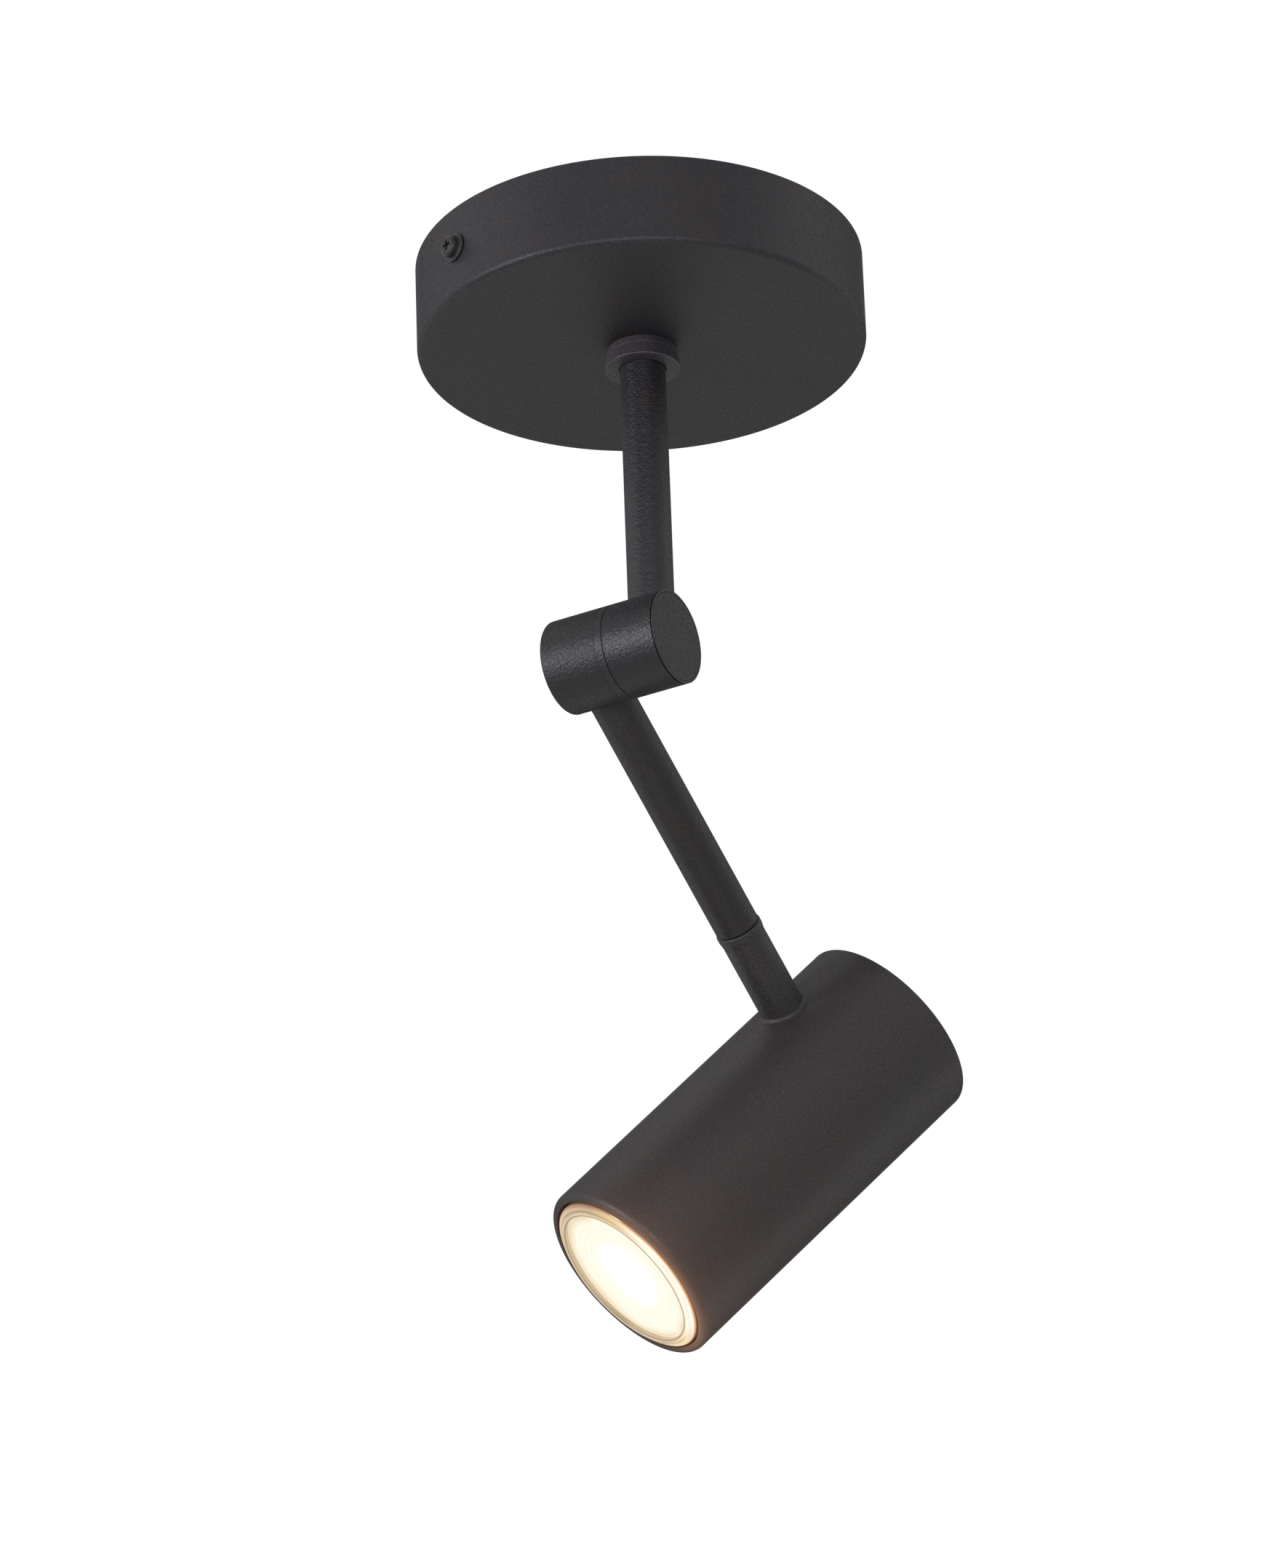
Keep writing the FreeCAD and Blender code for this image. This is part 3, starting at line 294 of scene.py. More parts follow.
RIM_BRIGHT_SIDE: Stops = (
    (0.0, (0.06, 0.035, 0.02)), (0.36, (0.16, 0.07, 0.035)), (0.41, (1.0, 0.46, 0.2)),
    (0.45, (1.22, 1.12, 0.98)), (0.6, (1.2, 1.1, 0.94)), (0.67, (1.08, 0.9, 0.62)),
    (0.7, (0.75, 0.55, 0.33)), (0.725, (0.26, 0.16, 0.09)), (0.755, (0.55, 0.42, 0.27)),
    (0.98, (0.75, 0.62, 0.42)),
)


def opaque(colour: Colour) -> tuple[float, float, float, float]:
    """Colour with full alpha."""
    return (*colour, 1.0)


WHITE = opaque((1.0, 1.0, 1.0))


@dataclass(frozen=True)
class Finish:
    """What every finish has: a name, a colour pair that drifts over the surface, and a roughness pair."""

    name: str
    slot: Slot
    shade: Colour
    tint: Colour
    rough_low: float
    rough_high: float
    metallic: float = 0.0
    specular: float = 0.5
    drift_mm: float = 14.0
    grain_mm: float = 0.5
    grain_height_mm: float = 0.01

    def material(self) -> bpy.types.Material:
        """Make the material, once.

        Returns:
            The material of this finish.
        """
        found = bpy.data.materials.get(self.name)
        if found:
            return found
        made = bpy.data.materials.new(self.name)
        made.use_nodes = True
        graph = Graph(made.node_tree)
        shader = made.node_tree.nodes["Principled BSDF"]
        shader.inputs["Metallic"].default_value = self.metallic
        shader.inputs["Specular IOR Level"].default_value = self.specular
        place = graph.make("ShaderNodeTexCoord", output="Object")
        self.dress(graph, shader, place)
        return made

    def noise(self, graph: Graph, place: Value, size_mm: float, detail: float = 2.0) -> Value:
        """Noise with features of a given size."""
        return graph.make("ShaderNodeTexNoise", Vector=place, Scale=1 / (size_mm * MM), Detail=detail)

    def gloss(self, graph: Graph, shader: bpy.types.Node, pattern: Value) -> None:
        """Let the roughness follow a pattern."""
        graph.feed(shader.inputs["Roughness"], pattern.span(*WIDE, self.rough_low, self.rough_high))

    def bumped(self, graph: Graph, shader: bpy.types.Node, height: Value, height_mm: float) -> None:
        """Raise the surface by a height pattern.

        Args:
            graph: the material's tree.
            shader: its surface shader.
            height: the pattern.
            height_mm: the pattern's real height.
        """
        bump = graph.make(
            "ShaderNodeBump", output="Normal", Height=height, Strength=1.0, Distance=height_mm * MM,
        )
        graph.feed(shader.inputs["Normal"], bump)

    def dress(self, graph: Graph, shader: bpy.types.Node, place: Value) -> None:
        """Colour drift, uneven gloss and fine relief.

        Args:
            graph: the material's tree.
            shader: its surface shader.
            place: the object's coordinates.
        """
        drift = self.noise(graph, place, self.drift_mm)
        grain = self.noise(graph, place, self.grain_mm, detail=3.0)
        colour = graph.mixed(drift.span(*MIDDLE), opaque(self.shade), opaque(self.tint))
        graph.feed(shader.inputs["Base Color"], colour)
        self.gloss(graph, shader, grain)
        self.bumped(graph, shader, grain, self.grain_height_mm)


@dataclass(frozen=True)
class PowderCoat(Finish):
    """Matt black powder coat: a fine orange-peel grain, cool and warm blotches and sparse pale grains."""

    peel_mm: float = 1.3
    peel_share: float = 0.6
    cloud_mm: float = 26.0
    cloud_share: float = 0.4
    grain_gain: float = 1.3
    grain_cover: float = 0.7
    edge_dulling: float = 0.45
    edge_facing: Range = (0.38, 0.8)
    speck_mm: float = 3.4
    speck_share: float = 0.03
    speck_height: float = 0.5
    speck_patches: Range = (0.45, 0.6)
    speck: Colour = (0.075, 0.075, 0.08)

    def dress(self, graph: Graph, shader: bpy.types.Node, place: Value) -> None:
        """Grain over orange peel, slow blotches, specks, and less gloss where the surface turns away.

        Args:
            graph: the material's tree.
            shader: its surface shader.
            place: the object's coordinates.
        """
        drift = self.noise(graph, place, self.drift_mm, detail=3.0)
        cloud = self.noise(graph, place, self.cloud_mm)
        grain = self.noise(graph, place, self.grain_mm, detail=4.0)
        peel = self.noise(graph, place, self.peel_mm, detail=1.0)
        cell = graph.make(
            "ShaderNodeTexVoronoi", output="Distance", Vector=place, Scale=1 / (self.speck_mm * MM),
        )
        specks = cell.span(self.speck_share, 2 * self.speck_share, 1, 0) * cloud.span(*self.speck_patches)
        blotch = (drift * (1 - self.cloud_share) + cloud * self.cloud_share).span(*NARROW)
        colour = graph.mixed(blotch, opaque(self.shade), opaque(self.tint))
        lighter = opaque(tuple(part * (1 + self.grain_gain) for part in self.tint))
        colour = graph.mixed(grain.span(*PEAKS, 0, self.grain_cover), colour, lighter)
        colour = graph.mixed(specks, colour, opaque(self.speck))
        graph.feed(shader.inputs["Base Color"], colour)
        facing = graph.make("ShaderNodeLayerWeight", output="Facing", Blend=0.5)
        dull = facing.span(*self.edge_facing, 0, self.edge_dulling)
        rough = grain.span(*WIDE, self.rough_high, self.rough_low) + dull
        graph.feed(shader.inputs["Roughness"], rough)
        relief = grain + peel * self.peel_share + specks * self.speck_height
        self.bumped(graph, shader, relief, self.grain_height_mm)


@dataclass(frozen=True)
class PaintedLampGlowCoat(PowderCoat):
    """Powder coat of the head, with the lit lamp's warm light on its mouth painted in as glow."""

    lip_mm: float = 81.3
    mouth_mm: float = 25.1
    glow: Colour = (1.0, 0.48, 0.25)
    falls: tuple[tuple[float, float], ...] = ((0.09, 0.6), (0.032, 2.2), (0.040, 15.0))
    glow_turn: float = 0.245
    outer_reach: Range = (-0.15, 0.9)
    inner_reach: Range = (-0.2, 0.9)
    inner_least: float = 0.25
    mouth_glow: float = 0.11
    mouth_fall_mm: float = 4.0
    lip_fall_mm: float = 0.45

    def faded(self, distance: Value, fall: float, strength: float = 1.0) -> Value:
        """Painted light that fades with a distance."""
        return (distance * (-1 / fall)).math("EXPONENT") * strength

    def dress(self, graph: Graph, shader: bpy.types.Node, place: Value) -> None:
        """Powder coat, then painted light: a glow that fades behind the lip, inside the mouth and across the
        lip.

        Args:
            graph: the material's tree.
            shader: its surface shader.
            place: the object's coordinates.
        """
        super().dress(graph, shader, place)
        spot, turn, scale = HEAD_FRAME.inverted().decompose()
        local = graph.make(
            "ShaderNodeMapping", Vector=place, Location=spot, Rotation=turn.to_euler("XYZ"), Scale=scale,
        )
        along, y, z = graph.parts(local)
        behind = (along * -1 + self.lip_mm).math("MAXIMUM", 0.0)
        radius = (y * y + z * z).math("SQRT")
        # Painted light: the glow is strongest toward one fixed side of the mouth, set by glow_turn
        turned_way = FULL_TURN * self.glow_turn
        toward = (y * math.sin(turned_way) - z * math.cos(turned_way)) / radius
        outside = sum((self.faded(behind, fall, strength) for strength, fall in self.falls), behind * 0)
        inside = self.faded(behind, self.mouth_fall_mm, self.mouth_glow)
        inside = inside * self.faded((radius - self.mouth_mm).math("MAXIMUM", 0.0), self.lip_fall_mm)
        outside = outside * toward.span(*self.outer_reach, smooth=True)
        inside = inside * toward.span(*self.inner_reach, self.inner_least, 1)
        # The glow is painted in as emission on the coat, not cast by a lamp
        graph.feed(shader.inputs["Emission Strength"], outside + inside)
        shader.inputs["Emission Color"].default_value = opaque(self.glow)


@dataclass(frozen=True)
class Brushed(Finish):
    """Metal with fine parallel tool marks along one axis."""

    mark_mm: float = 0.25
    mark_share: float = 0.6
    stretch: float = 24.0

    def dress(self, graph: Graph, shader: bpy.types.Node, place: Value) -> None:
        """Long thin marks, a drifting tone and uneven gloss.

        Args:
            graph: the material's tree.
            shader: its surface shader.
            place: the object's coordinates.
        """
        drift = self.noise(graph, place, self.drift_mm, detail=3.0)
        squeezed = graph.make("ShaderNodeMapping", Vector=place, Scale=(1 / self.stretch, 1.0, 1.0))
        marks = self.noise(graph, squeezed, self.mark_mm, detail=3.0)
        colour = graph.mixed(drift.span(*WIDE), opaque(self.shade), opaque(self.tint))
        graph.feed(shader.inputs["Base Color"], colour)
        self.gloss(graph, shader, marks * self.mark_share + drift * (1 - self.mark_share))
        self.bumped(graph, shader, marks, self.grain_height_mm)


@dataclass(frozen=True)
class Striped(Finish):
    """Core insulation with its two colours in broad bands across it."""

    band_mm: float = 1.7
    band_edge: Range = (0.48, 0.52)
    band_bend: float = 0.4

    def dress(self, graph: Graph, shader: bpy.types.Node, place: Value) -> None:
        """Bands of the two colours in turn.

        Args:
            graph: the material's tree.
            shader: its surface shader.
            place: the object's coordinates.
        """
        grain = self.noise(graph, place, self.grain_mm)
        bands = graph.make(
            "ShaderNodeTexWave", output="Fac", settings={"bands_direction": "X"}, Vector=place,
            Scale=1 / (self.band_mm * MM * FULL_TURN), Distortion=self.band_bend,
        )
        colour = graph.mixed(bands.span(*self.band_edge), opaque(self.shade), opaque(self.tint))
        graph.feed(shader.inputs["Base Color"], colour)
        self.gloss(graph, shader, grain)
        self.bumped(graph, shader, grain, self.grain_height_mm)


@dataclass(frozen=True)
class GlowingLens(Finish):
    """Ribbed lens lit from behind: white in the middle, cream further out, with darker ring edges."""

    edge_glow: Colour = (0.74, 0.62, 0.43)
    ring_glow: Colour = (0.82, 0.7, 0.5)
    pale: Colour = (0.93, 0.9, 0.79)
    body: Colour = (0.1, 0.09, 0.07)
    wander: float = 0.2
    shadow_cover: float = 0.85

    def dress(self, graph: Graph, shader: bpy.types.Node, place: Value) -> None:
        """Light by the distance from the middle, with rings and flutes read from the lens's own attributes.

        Args:
            graph: the material's tree.
            shader: its surface shader.
            place: the object's coordinates.
        """
        share = graph.make("ShaderNodeAttribute", output="Fac", settings={"attribute_name": LENS_SHARE})
        shadow = graph.make("ShaderNodeAttribute", output="Fac", settings={"attribute_name": LENS_SHADOW})
        drift = self.noise(graph, place, self.drift_mm)
        reach = share + (drift - 0.5) * self.wander
        glow = graph.ramp(reach, (
            (0.0, self.shade), (0.38, self.shade), (0.57, self.pale), (0.6, self.tint),
            (0.635, self.pale), (0.75, self.tint), (0.86, self.tint), (0.98, self.edge_glow),
        ))
        glow = graph.mixed(shadow * self.shadow_cover, glow, opaque(self.ring_glow))
        graph.feed(shader.inputs["Emission Color"], glow)
        shader.inputs["Emission Strength"].default_value = 1.0
        shader.inputs["Base Color"].default_value = opaque(self.body)
        self.gloss(graph, shader, self.noise(graph, place, self.grain_mm))


@dataclass(frozen=True)
class LitGlass(Finish):
    """Clear glass rim that carries the lamp's light, in bands from its outer side to the lens."""

    band_span: float = 10.0
    half_lit_level: Range = (0.05, 0.4)
    bright_side_level: Range = (0.45, 0.85)
    streak_mm: float = 1.1
    streaks_round: float = 5.0
    streak_bend: float = 0.6
    streak_dimming: float = 0.36

    def dress(self, graph: Graph, shader: bpy.types.Node, place: Value) -> None:
        """Bands and streaks that run round the rim by the glass's own map, with painted light brightest on
        one fixed side.

        Args:
            graph: the material's tree.
            shader: its surface shader.
            place: the object's coordinates, not used here.
        """
        lathe_map = graph.make("ShaderNodeUVMap", settings={"uv_map": TURNED_MAP})
        turn, run, _ = graph.parts(lathe_map)
        stretch = (self.streaks_round, 1 / self.streak_mm, 1.0)
        streaked = graph.make("ShaderNodeMapping", Vector=lathe_map, Scale=stretch)
        streaks = graph.make(
            "ShaderNodeTexNoise", Vector=streaked, Scale=1.0, Detail=4.0, Distortion=self.streak_bend,
        )
        dim, gold, cream = (
            graph.ramp(run / self.band_span, stops) for stops in (RIM_DIM, RIM_HALF_LIT, RIM_BRIGHT_SIDE)
        )
        # Painted light: the rim turns brighter toward one fixed side of the lamp, gold beside it and cream
        # on it
        level = (turn * FULL_TURN).math("SINE")
        glow = graph.mixed(level.span(*self.half_lit_level), dim, gold)
        glow = graph.mixed(level.span(*self.bright_side_level), glow, cream)
        graph.feed(shader.inputs["Emission Color"], glow)
        graph.feed(shader.inputs["Emission Strength"], streaks.span(*WIDE, 1 - self.streak_dimming, 1.0))
        colour = graph.mixed(streaks.span(*MIDDLE), opaque(self.shade), opaque(self.tint))
        graph.feed(shader.inputs["Base Color"], colour)
        self.gloss(graph, shader, streaks)


# The cup's matt black powder coat; the copies after it are lighter and darker versions of this same coat,
# their base colours painted light and painted shade
BLACK = PowderCoat(
    "matt_black_powder_coat", Slot.BLACK, shade=(0.0074, 0.0094, 0.0131), tint=(0.0132, 0.0098, 0.0107),
    rough_low=0.33, rough_high=0.5, specular=0.25, drift_mm=5.0, grain_mm=0.5, grain_height_mm=0.14,
)
# Lighter copy for the barrel's end caps: its lighter base colour is painted light
CAP_LIT_BLACK = replace(
    BLACK, name="cap_powder_coat", shade=(0.0114, 0.0113, 0.0132), tint=(0.0158, 0.0126, 0.0116),
)
# Lighter copy for the collar: its lighter base colour is painted light on the collar under the cup
COLLAR_LIT_BLACK = replace(
    BLACK, name="collar_powder_coat", shade=(0.0225, 0.0210, 0.0245), tint=(0.0270, 0.0226, 0.0250),
    specular=0.34,
)
# Darker copy for the stem and the friction ring: its darker base colour is painted shade; its higher
# specular level is gloss
TUBE_SHADED_BLACK = replace(
    BLACK, name="tube_powder_coat", shade=(0.0036, 0.0036, 0.0068), tint=(0.0074, 0.0052, 0.0062),
    specular=0.33, grain_mm=0.6, grain_height_mm=0.17, edge_dulling=0.4,
)
# Darkest copy for the barrel's upper half: its darker base colour is painted shade that sets off its
# highlight; its lower roughness and higher specular level are gloss
UPPER_SHADED_BLACK = replace(
    BLACK, name="upper_knuckle_powder_coat", shade=(0.0008, 0.0008, 0.0028), tint=(0.0030, 0.0017, 0.0027),
    rough_low=0.3, rough_high=0.48, specular=0.35, grain_mm=0.55, grain_height_mm=0.17,
)
# Darker copy for the barrel's lower half: its darker base colour is painted shade; its higher specular level
# is gloss
LOWER_SHADED_BLACK = replace(
    BLACK, name="lower_knuckle_powder_coat", shade=(0.0024, 0.0024, 0.0045), tint=(0.0055, 0.0038, 0.0037),
    rough_low=0.34, rough_high=0.52, specular=0.33, grain_mm=0.58, grain_height_mm=0.19,
)
# Slightly darker copy for the arm: its darker base colour is painted shade
ARM_SHADED_BLACK = replace(
    BLACK, name="arm_powder_coat", shade=(0.0082, 0.0081, 0.0100), tint=(0.0116, 0.0091, 0.0080),
    edge_dulling=0.36,
)
# Lighter copy for the neck: its lighter base colour is painted light
NECK_LIT_BLACK = replace(
    ARM_SHADED_BLACK, name="neck_powder_coat", shade=(0.0158, 0.0158, 0.0192), tint=(0.0206, 0.0173, 0.0172),
)
# Lighter coat for the head: its lighter base colour is painted light, and it carries a painted glow of the
# lamp's light round the mouth
HEAD_LIT_BLACK = PaintedLampGlowCoat(
    "lamp_lit_powder_coat", Slot.BLACK, shade=(0.0181, 0.0170, 0.0196), tint=(0.0222, 0.0182, 0.0176),
    rough_low=0.36, rough_high=0.52, specular=0.25, drift_mm=6.0, grain_mm=0.4, grain_height_mm=0.05,
)
SCREW_BLACK = Finish(
    "blackened_screw", Slot.SCREW, shade=(0.009, 0.009, 0.0095), tint=(0.016, 0.0152, 0.0148),
    rough_low=0.36, rough_high=0.55, specular=0.25, drift_mm=2.0, grain_mm=0.3, grain_height_mm=0.01,
)
ZINC = Brushed(
    "zinc_plated_steel", Slot.ZINC, shade=(0.5, 0.51, 0.52), tint=(0.6, 0.59, 0.56),
    rough_low=0.26, rough_high=0.42, metallic=1.0, drift_mm=7.0, grain_height_mm=0.004,
)
BRASS = Brushed(
    "turned_brass", Slot.BRASS, shade=(0.62, 0.44, 0.17), tint=(0.72, 0.53, 0.24),
    rough_low=0.22, rough_high=0.36, metallic=1.0, drift_mm=3.0, grain_height_mm=0.003,
)
NICKEL = Brushed(
    "nickel_plate", Slot.NICKEL, shade=(0.6, 0.58, 0.53), tint=(0.7, 0.68, 0.63),
    rough_low=0.16, rough_high=0.28, metallic=1.0, drift_mm=3.0, grain_height_mm=0.002,
)
NYLON = Finish(
    "natural_nylon", Slot.NYLON, shade=(0.72, 0.71, 0.65), tint=(0.8, 0.79, 0.74),
    rough_low=0.38, rough_high=0.52, drift_mm=9.0, grain_mm=0.6, grain_height_mm=0.01,
)
CERAMIC = Finish(
    "steatite", Slot.CERAMIC, shade=(0.7, 0.65, 0.54), tint=(0.8, 0.76, 0.67),
    rough_low=0.5, rough_high=0.7, drift_mm=5.0, grain_mm=0.35, grain_height_mm=0.02,
)
SHEATH = Finish(
    "silicone_sheath", Slot.SHEATH, shade=(0.66, 0.66, 0.63), tint=(0.74, 0.74, 0.72),
    rough_low=0.4, rough_high=0.55, drift_mm=8.0, grain_mm=0.5, grain_height_mm=0.01,
)
BROWN = Finish(
    "brown_core", Slot.BROWN, shade=(0.065, 0.024, 0.01), tint=(0.09, 0.036, 0.016),
    rough_low=0.34, rough_high=0.46, drift_mm=5.0, grain_mm=0.4, grain_height_mm=0.006,
)
BLUE = Finish(
    "blue_core", Slot.BLUE, shade=(0.012, 0.07, 0.3), tint=(0.02, 0.1, 0.38),
    rough_low=0.34, rough_high=0.46, drift_mm=5.0, grain_mm=0.4, grain_height_mm=0.006,
)
EARTH = Striped(
    "green_and_yellow_core", Slot.EARTH, shade=(0.03, 0.22, 0.03), tint=(0.6, 0.5, 0.04),
    rough_low=0.34, rough_high=0.46, grain_mm=0.4, grain_height_mm=0.006,
)
LAMP_WHITE = Finish(
    "white_lamp_base", Slot.BASE, shade=(0.76, 0.74, 0.69), tint=(0.83, 0.82, 0.78),
    rough_low=0.26, rough_high=0.36, drift_mm=8.0, grain_mm=0.5, grain_height_mm=0.006,
)
RIM_GLASS = LitGlass(
    "lit_rim_glass", Slot.GLASS, shade=(0.05, 0.04, 0.03), tint=(0.1, 0.085, 0.06),
    rough_low=0.12, rough_high=0.3, specular=0.3,
)
LENS = GlowingLens(
    "lit_ribbed_lens", Slot.LENS, shade=(1.05, 1.03, 0.98), tint=(0.86, 0.82, 0.69),
    rough_low=0.2, rough_high=0.34, specular=0.3, drift_mm=11.0,
)
BOARD = Finish(
    "white_board", Slot.BOARD, shade=(0.7, 0.69, 0.63), tint=(0.78, 0.77, 0.72),
    rough_low=0.4, rough_high=0.5, drift_mm=3.0, grain_mm=0.4, grain_height_mm=0.004,
)
DRIVER = Finish(
    "driver_board", Slot.DRIVER, shade=(0.014, 0.07, 0.035), tint=(0.02, 0.095, 0.05),
    rough_low=0.35, rough_high=0.5, drift_mm=2.0, grain_mm=0.3, grain_height_mm=0.006,
)


# Shapes

FACET = math.radians(10)
LEAST_FACETS = 3
CUP_SEGMENTS = 320
WIDE_SEGMENTS = 240
ROUND_SEGMENTS = 160
FINE_SEGMENTS = 64
SCREW_SEGMENTS = 32
RIDGE_FLANK = 0.4
CREASE = math.radians(32)
FLAT = math.radians(1)
MERGE = 0.0005 * MM
BEVEL_FROM = math.radians(40)
BEVEL_SEGMENTS = 2


@dataclass(frozen=True)
class Corner:
    """Corner of a turned outline: its radius and height, and how far it is rounded."""

    radius: float
    height: float
    round: float = 0.0


def rounded(corners: Sequence[Corner]) -> list[tuple[float, float]]:
    """Round an outline's corners.

    Args:
        corners: the corners of a closed outline, in order.

    Returns:
        Points of the outline, as radius and height.
    """
    points: list[tuple[float, float]] = []
    for index, corner in enumerate(corners):
        here = Vector((corner.radius, corner.height))
        if corner.round <= TINY:
            points.append((here.x, here.y))
            continue
        before, after = corners[index - 1], corners[(index + 1) % len(corners)]
        back = (Vector((before.radius, before.height)) - here).normalized()
        ahead = (Vector((after.radius, after.height)) - here).normalized()
        half = back.angle(ahead) / 2
        trim = corner.round / math.tan(half)
        centre = here + (back + ahead).normalized() * (corner.round / math.sin(half))
        start, end = here + back * trim - centre, here + ahead * trim - centre
        first = math.atan2(start.y, start.x)
        sweep = (math.atan2(end.y, end.x) - first + math.pi) % FULL_TURN - math.pi
        steps = max(LEAST_FACETS, math.ceil(abs(sweep) / FACET))
        for step in range(steps + 1):
            turn = first + sweep * step / steps
            across, along = math.cos(turn) * corner.round, math.sin(turn) * corner.round
            points.append((centre.x + across, centre.y + along))
    return points


def ridges(radius: float, low: float, high: float, pitch: float, depth: float) -> list[Corner]:
    """Corners of a screw thread's ridges, from the low end to the high end.

    Args:
        radius: radius over the ridges.
        low: height where the thread starts.
        high: height where it ends.
        pitch: distance from ridge to ridge.
        depth: depth of the valleys.

    Returns:
        The corners, in order.
    """
    count = max(1, round((high - low) / pitch))
    step = (high - low) / count
    corners = []
    for index in range(count):
        foot = low + index * step
        corners.append(Corner(radius - depth, foot))
        corners.append(Corner(radius, foot + step * RIDGE_FLANK))
        corners.append(Corner(radius, foot + step * (1 - RIDGE_FLANK)))
    corners.append(Corner(radius - depth, high))
    return corners


def shown(name: str, mesh: bpy.types.Mesh) -> bpy.types.Object:
    """Turn a mesh's faces outwards, shade it with sharp creases and put it in the scene.

    Args:
        name: name of the piece.
        mesh: its mesh, in metres and in place.

    Returns:
        The piece.
    """
    shape = bmesh.new()
    shape.from_mesh(mesh)
    bmesh.ops.recalc_face_normals(shape, faces=shape.faces)
    shape.to_mesh(mesh)
    shape.free()
    mesh.shade_smooth()
    mesh.set_sharp_from_angle(angle=CREASE)
    piece = bpy.data.objects.new(name, mesh)
    bpy.context.scene.collection.objects.link(piece)
    weighted = piece.modifiers.new("even_shading", "WEIGHTED_NORMAL")
    weighted.keep_sharp = True
    return piece


def turned(
    name: str, corners: Sequence[Corner], place: Matrix, segments: int = ROUND_SEGMENTS
) -> bpy.types.Object:
    """Turn an outline about the local Z axis.

    Args:
        name: name of the piece.
        corners: corners of the closed outline.
        place: the piece's frame, from millimetres to the row frame.
        segments: facets round the axis.

    Returns:
        The piece, with a map of turn and outline length.
    """
    outline = rounded(corners)
    vertices: list[tuple[float, float, float]] = []
    rings: list[list[int]] = []
    for radius, height in outline:
        count = segments if radius > TINY else 1
        rings.append(list(range(len(vertices), len(vertices) + count)))
        for index in range(count):
            turn = FULL_TURN * index / segments
            vertices.append((radius * math.cos(turn), radius * math.sin(turn), height))
    faces: list[list[int]] = []
    spots: list[tuple[float, float]] = []
    low = 0.0
    for index, ring in enumerate(rings):
        following = (index + 1) % len(rings)
        other = rings[following]
        high = low + math.dist(outline[index], outline[following])
        for step in range(segments if len(ring) + len(other) > 2 else 0):
            face, marks = [], []
            for loop, shift, run in ((ring, 0, low), (ring, 1, low), (other, 1, high), (other, 0, high)):
                vertex = loop[(step + shift) % len(loop)]
                if vertex not in face:
                    face.append(vertex)
                    marks.append(((step + shift) / segments, run))
            faces.append(face)
            spots.extend(marks)
        low = high
    mesh = bpy.data.meshes.new(name)
    mesh.from_pydata(vertices, [], faces)
    layer = mesh.uv_layers.new(name=TURNED_MAP)
    for loop, spot in zip(layer.data, spots):
        loop.uv = spot
    mesh.transform(place)
    return shown(name, mesh)


def settled(name: str, shape: bmesh.types.BMesh) -> bpy.types.Mesh:
    """Make an edited shape a mesh.

    Args:
        name: name of the mesh.
        shape: the shape, freed afterwards.

    Returns:
        The mesh.
    """
    mesh = bpy.data.meshes.new(name)
    shape.to_mesh(mesh)
    shape.free()
    return mesh


def baked(piece: bpy.types.Object) -> bpy.types.Mesh:
    """Apply a piece's modifiers.

    Args:
        piece: the piece, removed afterwards.

    Returns:
        Its finished mesh.
    """
    evaluated = piece.evaluated_get(bpy.context.evaluated_depsgraph_get())
    mesh = bpy.data.meshes.new_from_object(evaluated)
    name = piece.name
    bpy.data.objects.remove(piece)
    mesh.name = name
    return mesh


def carved(piece: bpy.types.Object, cutter: bpy.types.Object) -> bpy.types.Object:
    """Cut one piece out of another.

    Args:
        piece: what is cut.
        cutter: what is taken away, removed afterwards.

    Returns:
        The cut piece.
    """
    name = piece.name
    piece.modifiers.clear()
    cut = piece.modifiers.new("recess", "BOOLEAN")
    cut.object = cutter
    cut.operation = "DIFFERENCE"
    cut.solver = "EXACT"
    mesh = baked(piece)
    bpy.data.objects.remove(cutter)
    return shown(name, mesh)


def joined(name: str, parts: Sequence[bpy.types.Object]) -> bpy.types.Object:
    """Join pieces into one mesh.

    Args:
        name: name of the result.
        parts: the pieces, removed afterwards.

    Returns:
        The joined piece.
    """
    shape = bmesh.new()
    for part in parts:
        shape.from_mesh(part.data)
        bpy.data.objects.remove(part)
    return shown(name, settled(name, shape))


def carried(node: str, edge_mm: float) -> bpy.types.Object:
    """Copy a frame piece with plain faces and finely broken edges.

    Args:
        node: the frame's piece.
        edge_mm: width of the broken edges, or 0 for none.

    Returns:
        The copy.
    """
    mesh = frame["nodes"][node].data.copy()
    mesh.materials.clear()
    shape = bmesh.new()
    shape.from_mesh(mesh)
    bmesh.ops.remove_doubles(shape, verts=shape.verts, dist=MERGE)
    bmesh.ops.dissolve_limit(shape, angle_limit=FLAT, verts=shape.verts, edges=shape.edges)
    shape.to_mesh(mesh)
    shape.free()
    mesh.name = "fine_" + node
    piece = shown(mesh.name, mesh)
    if edge_mm > 0:
        piece.modifiers.clear()
        bevel = piece.modifiers.new("broken_edges", "BEVEL")
        bevel.width = edge_mm * MM
        bevel.segments = BEVEL_SEGMENTS
        bevel.limit_method = "ANGLE"
        bevel.angle_limit = BEVEL_FROM
        bevel.harden_normals = True
    return piece


def fit(piece: bpy.types.Object, finish: Finish, body: Body, *nodes: str) -> bpy.types.Object:
    """Give a piece its finish and body, and let it stand for frame pieces.

    Args:
        piece: the piece.
        finish: its finish.
        body: the body that it rides on.
        nodes: the frame pieces that it replaces.

    Returns:
        The piece.
    """
    piece.data.materials.clear()
    piece.data.materials.append(finish.material())
    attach(piece, body.value)
    if nodes:
        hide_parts(*nodes)
    return piece


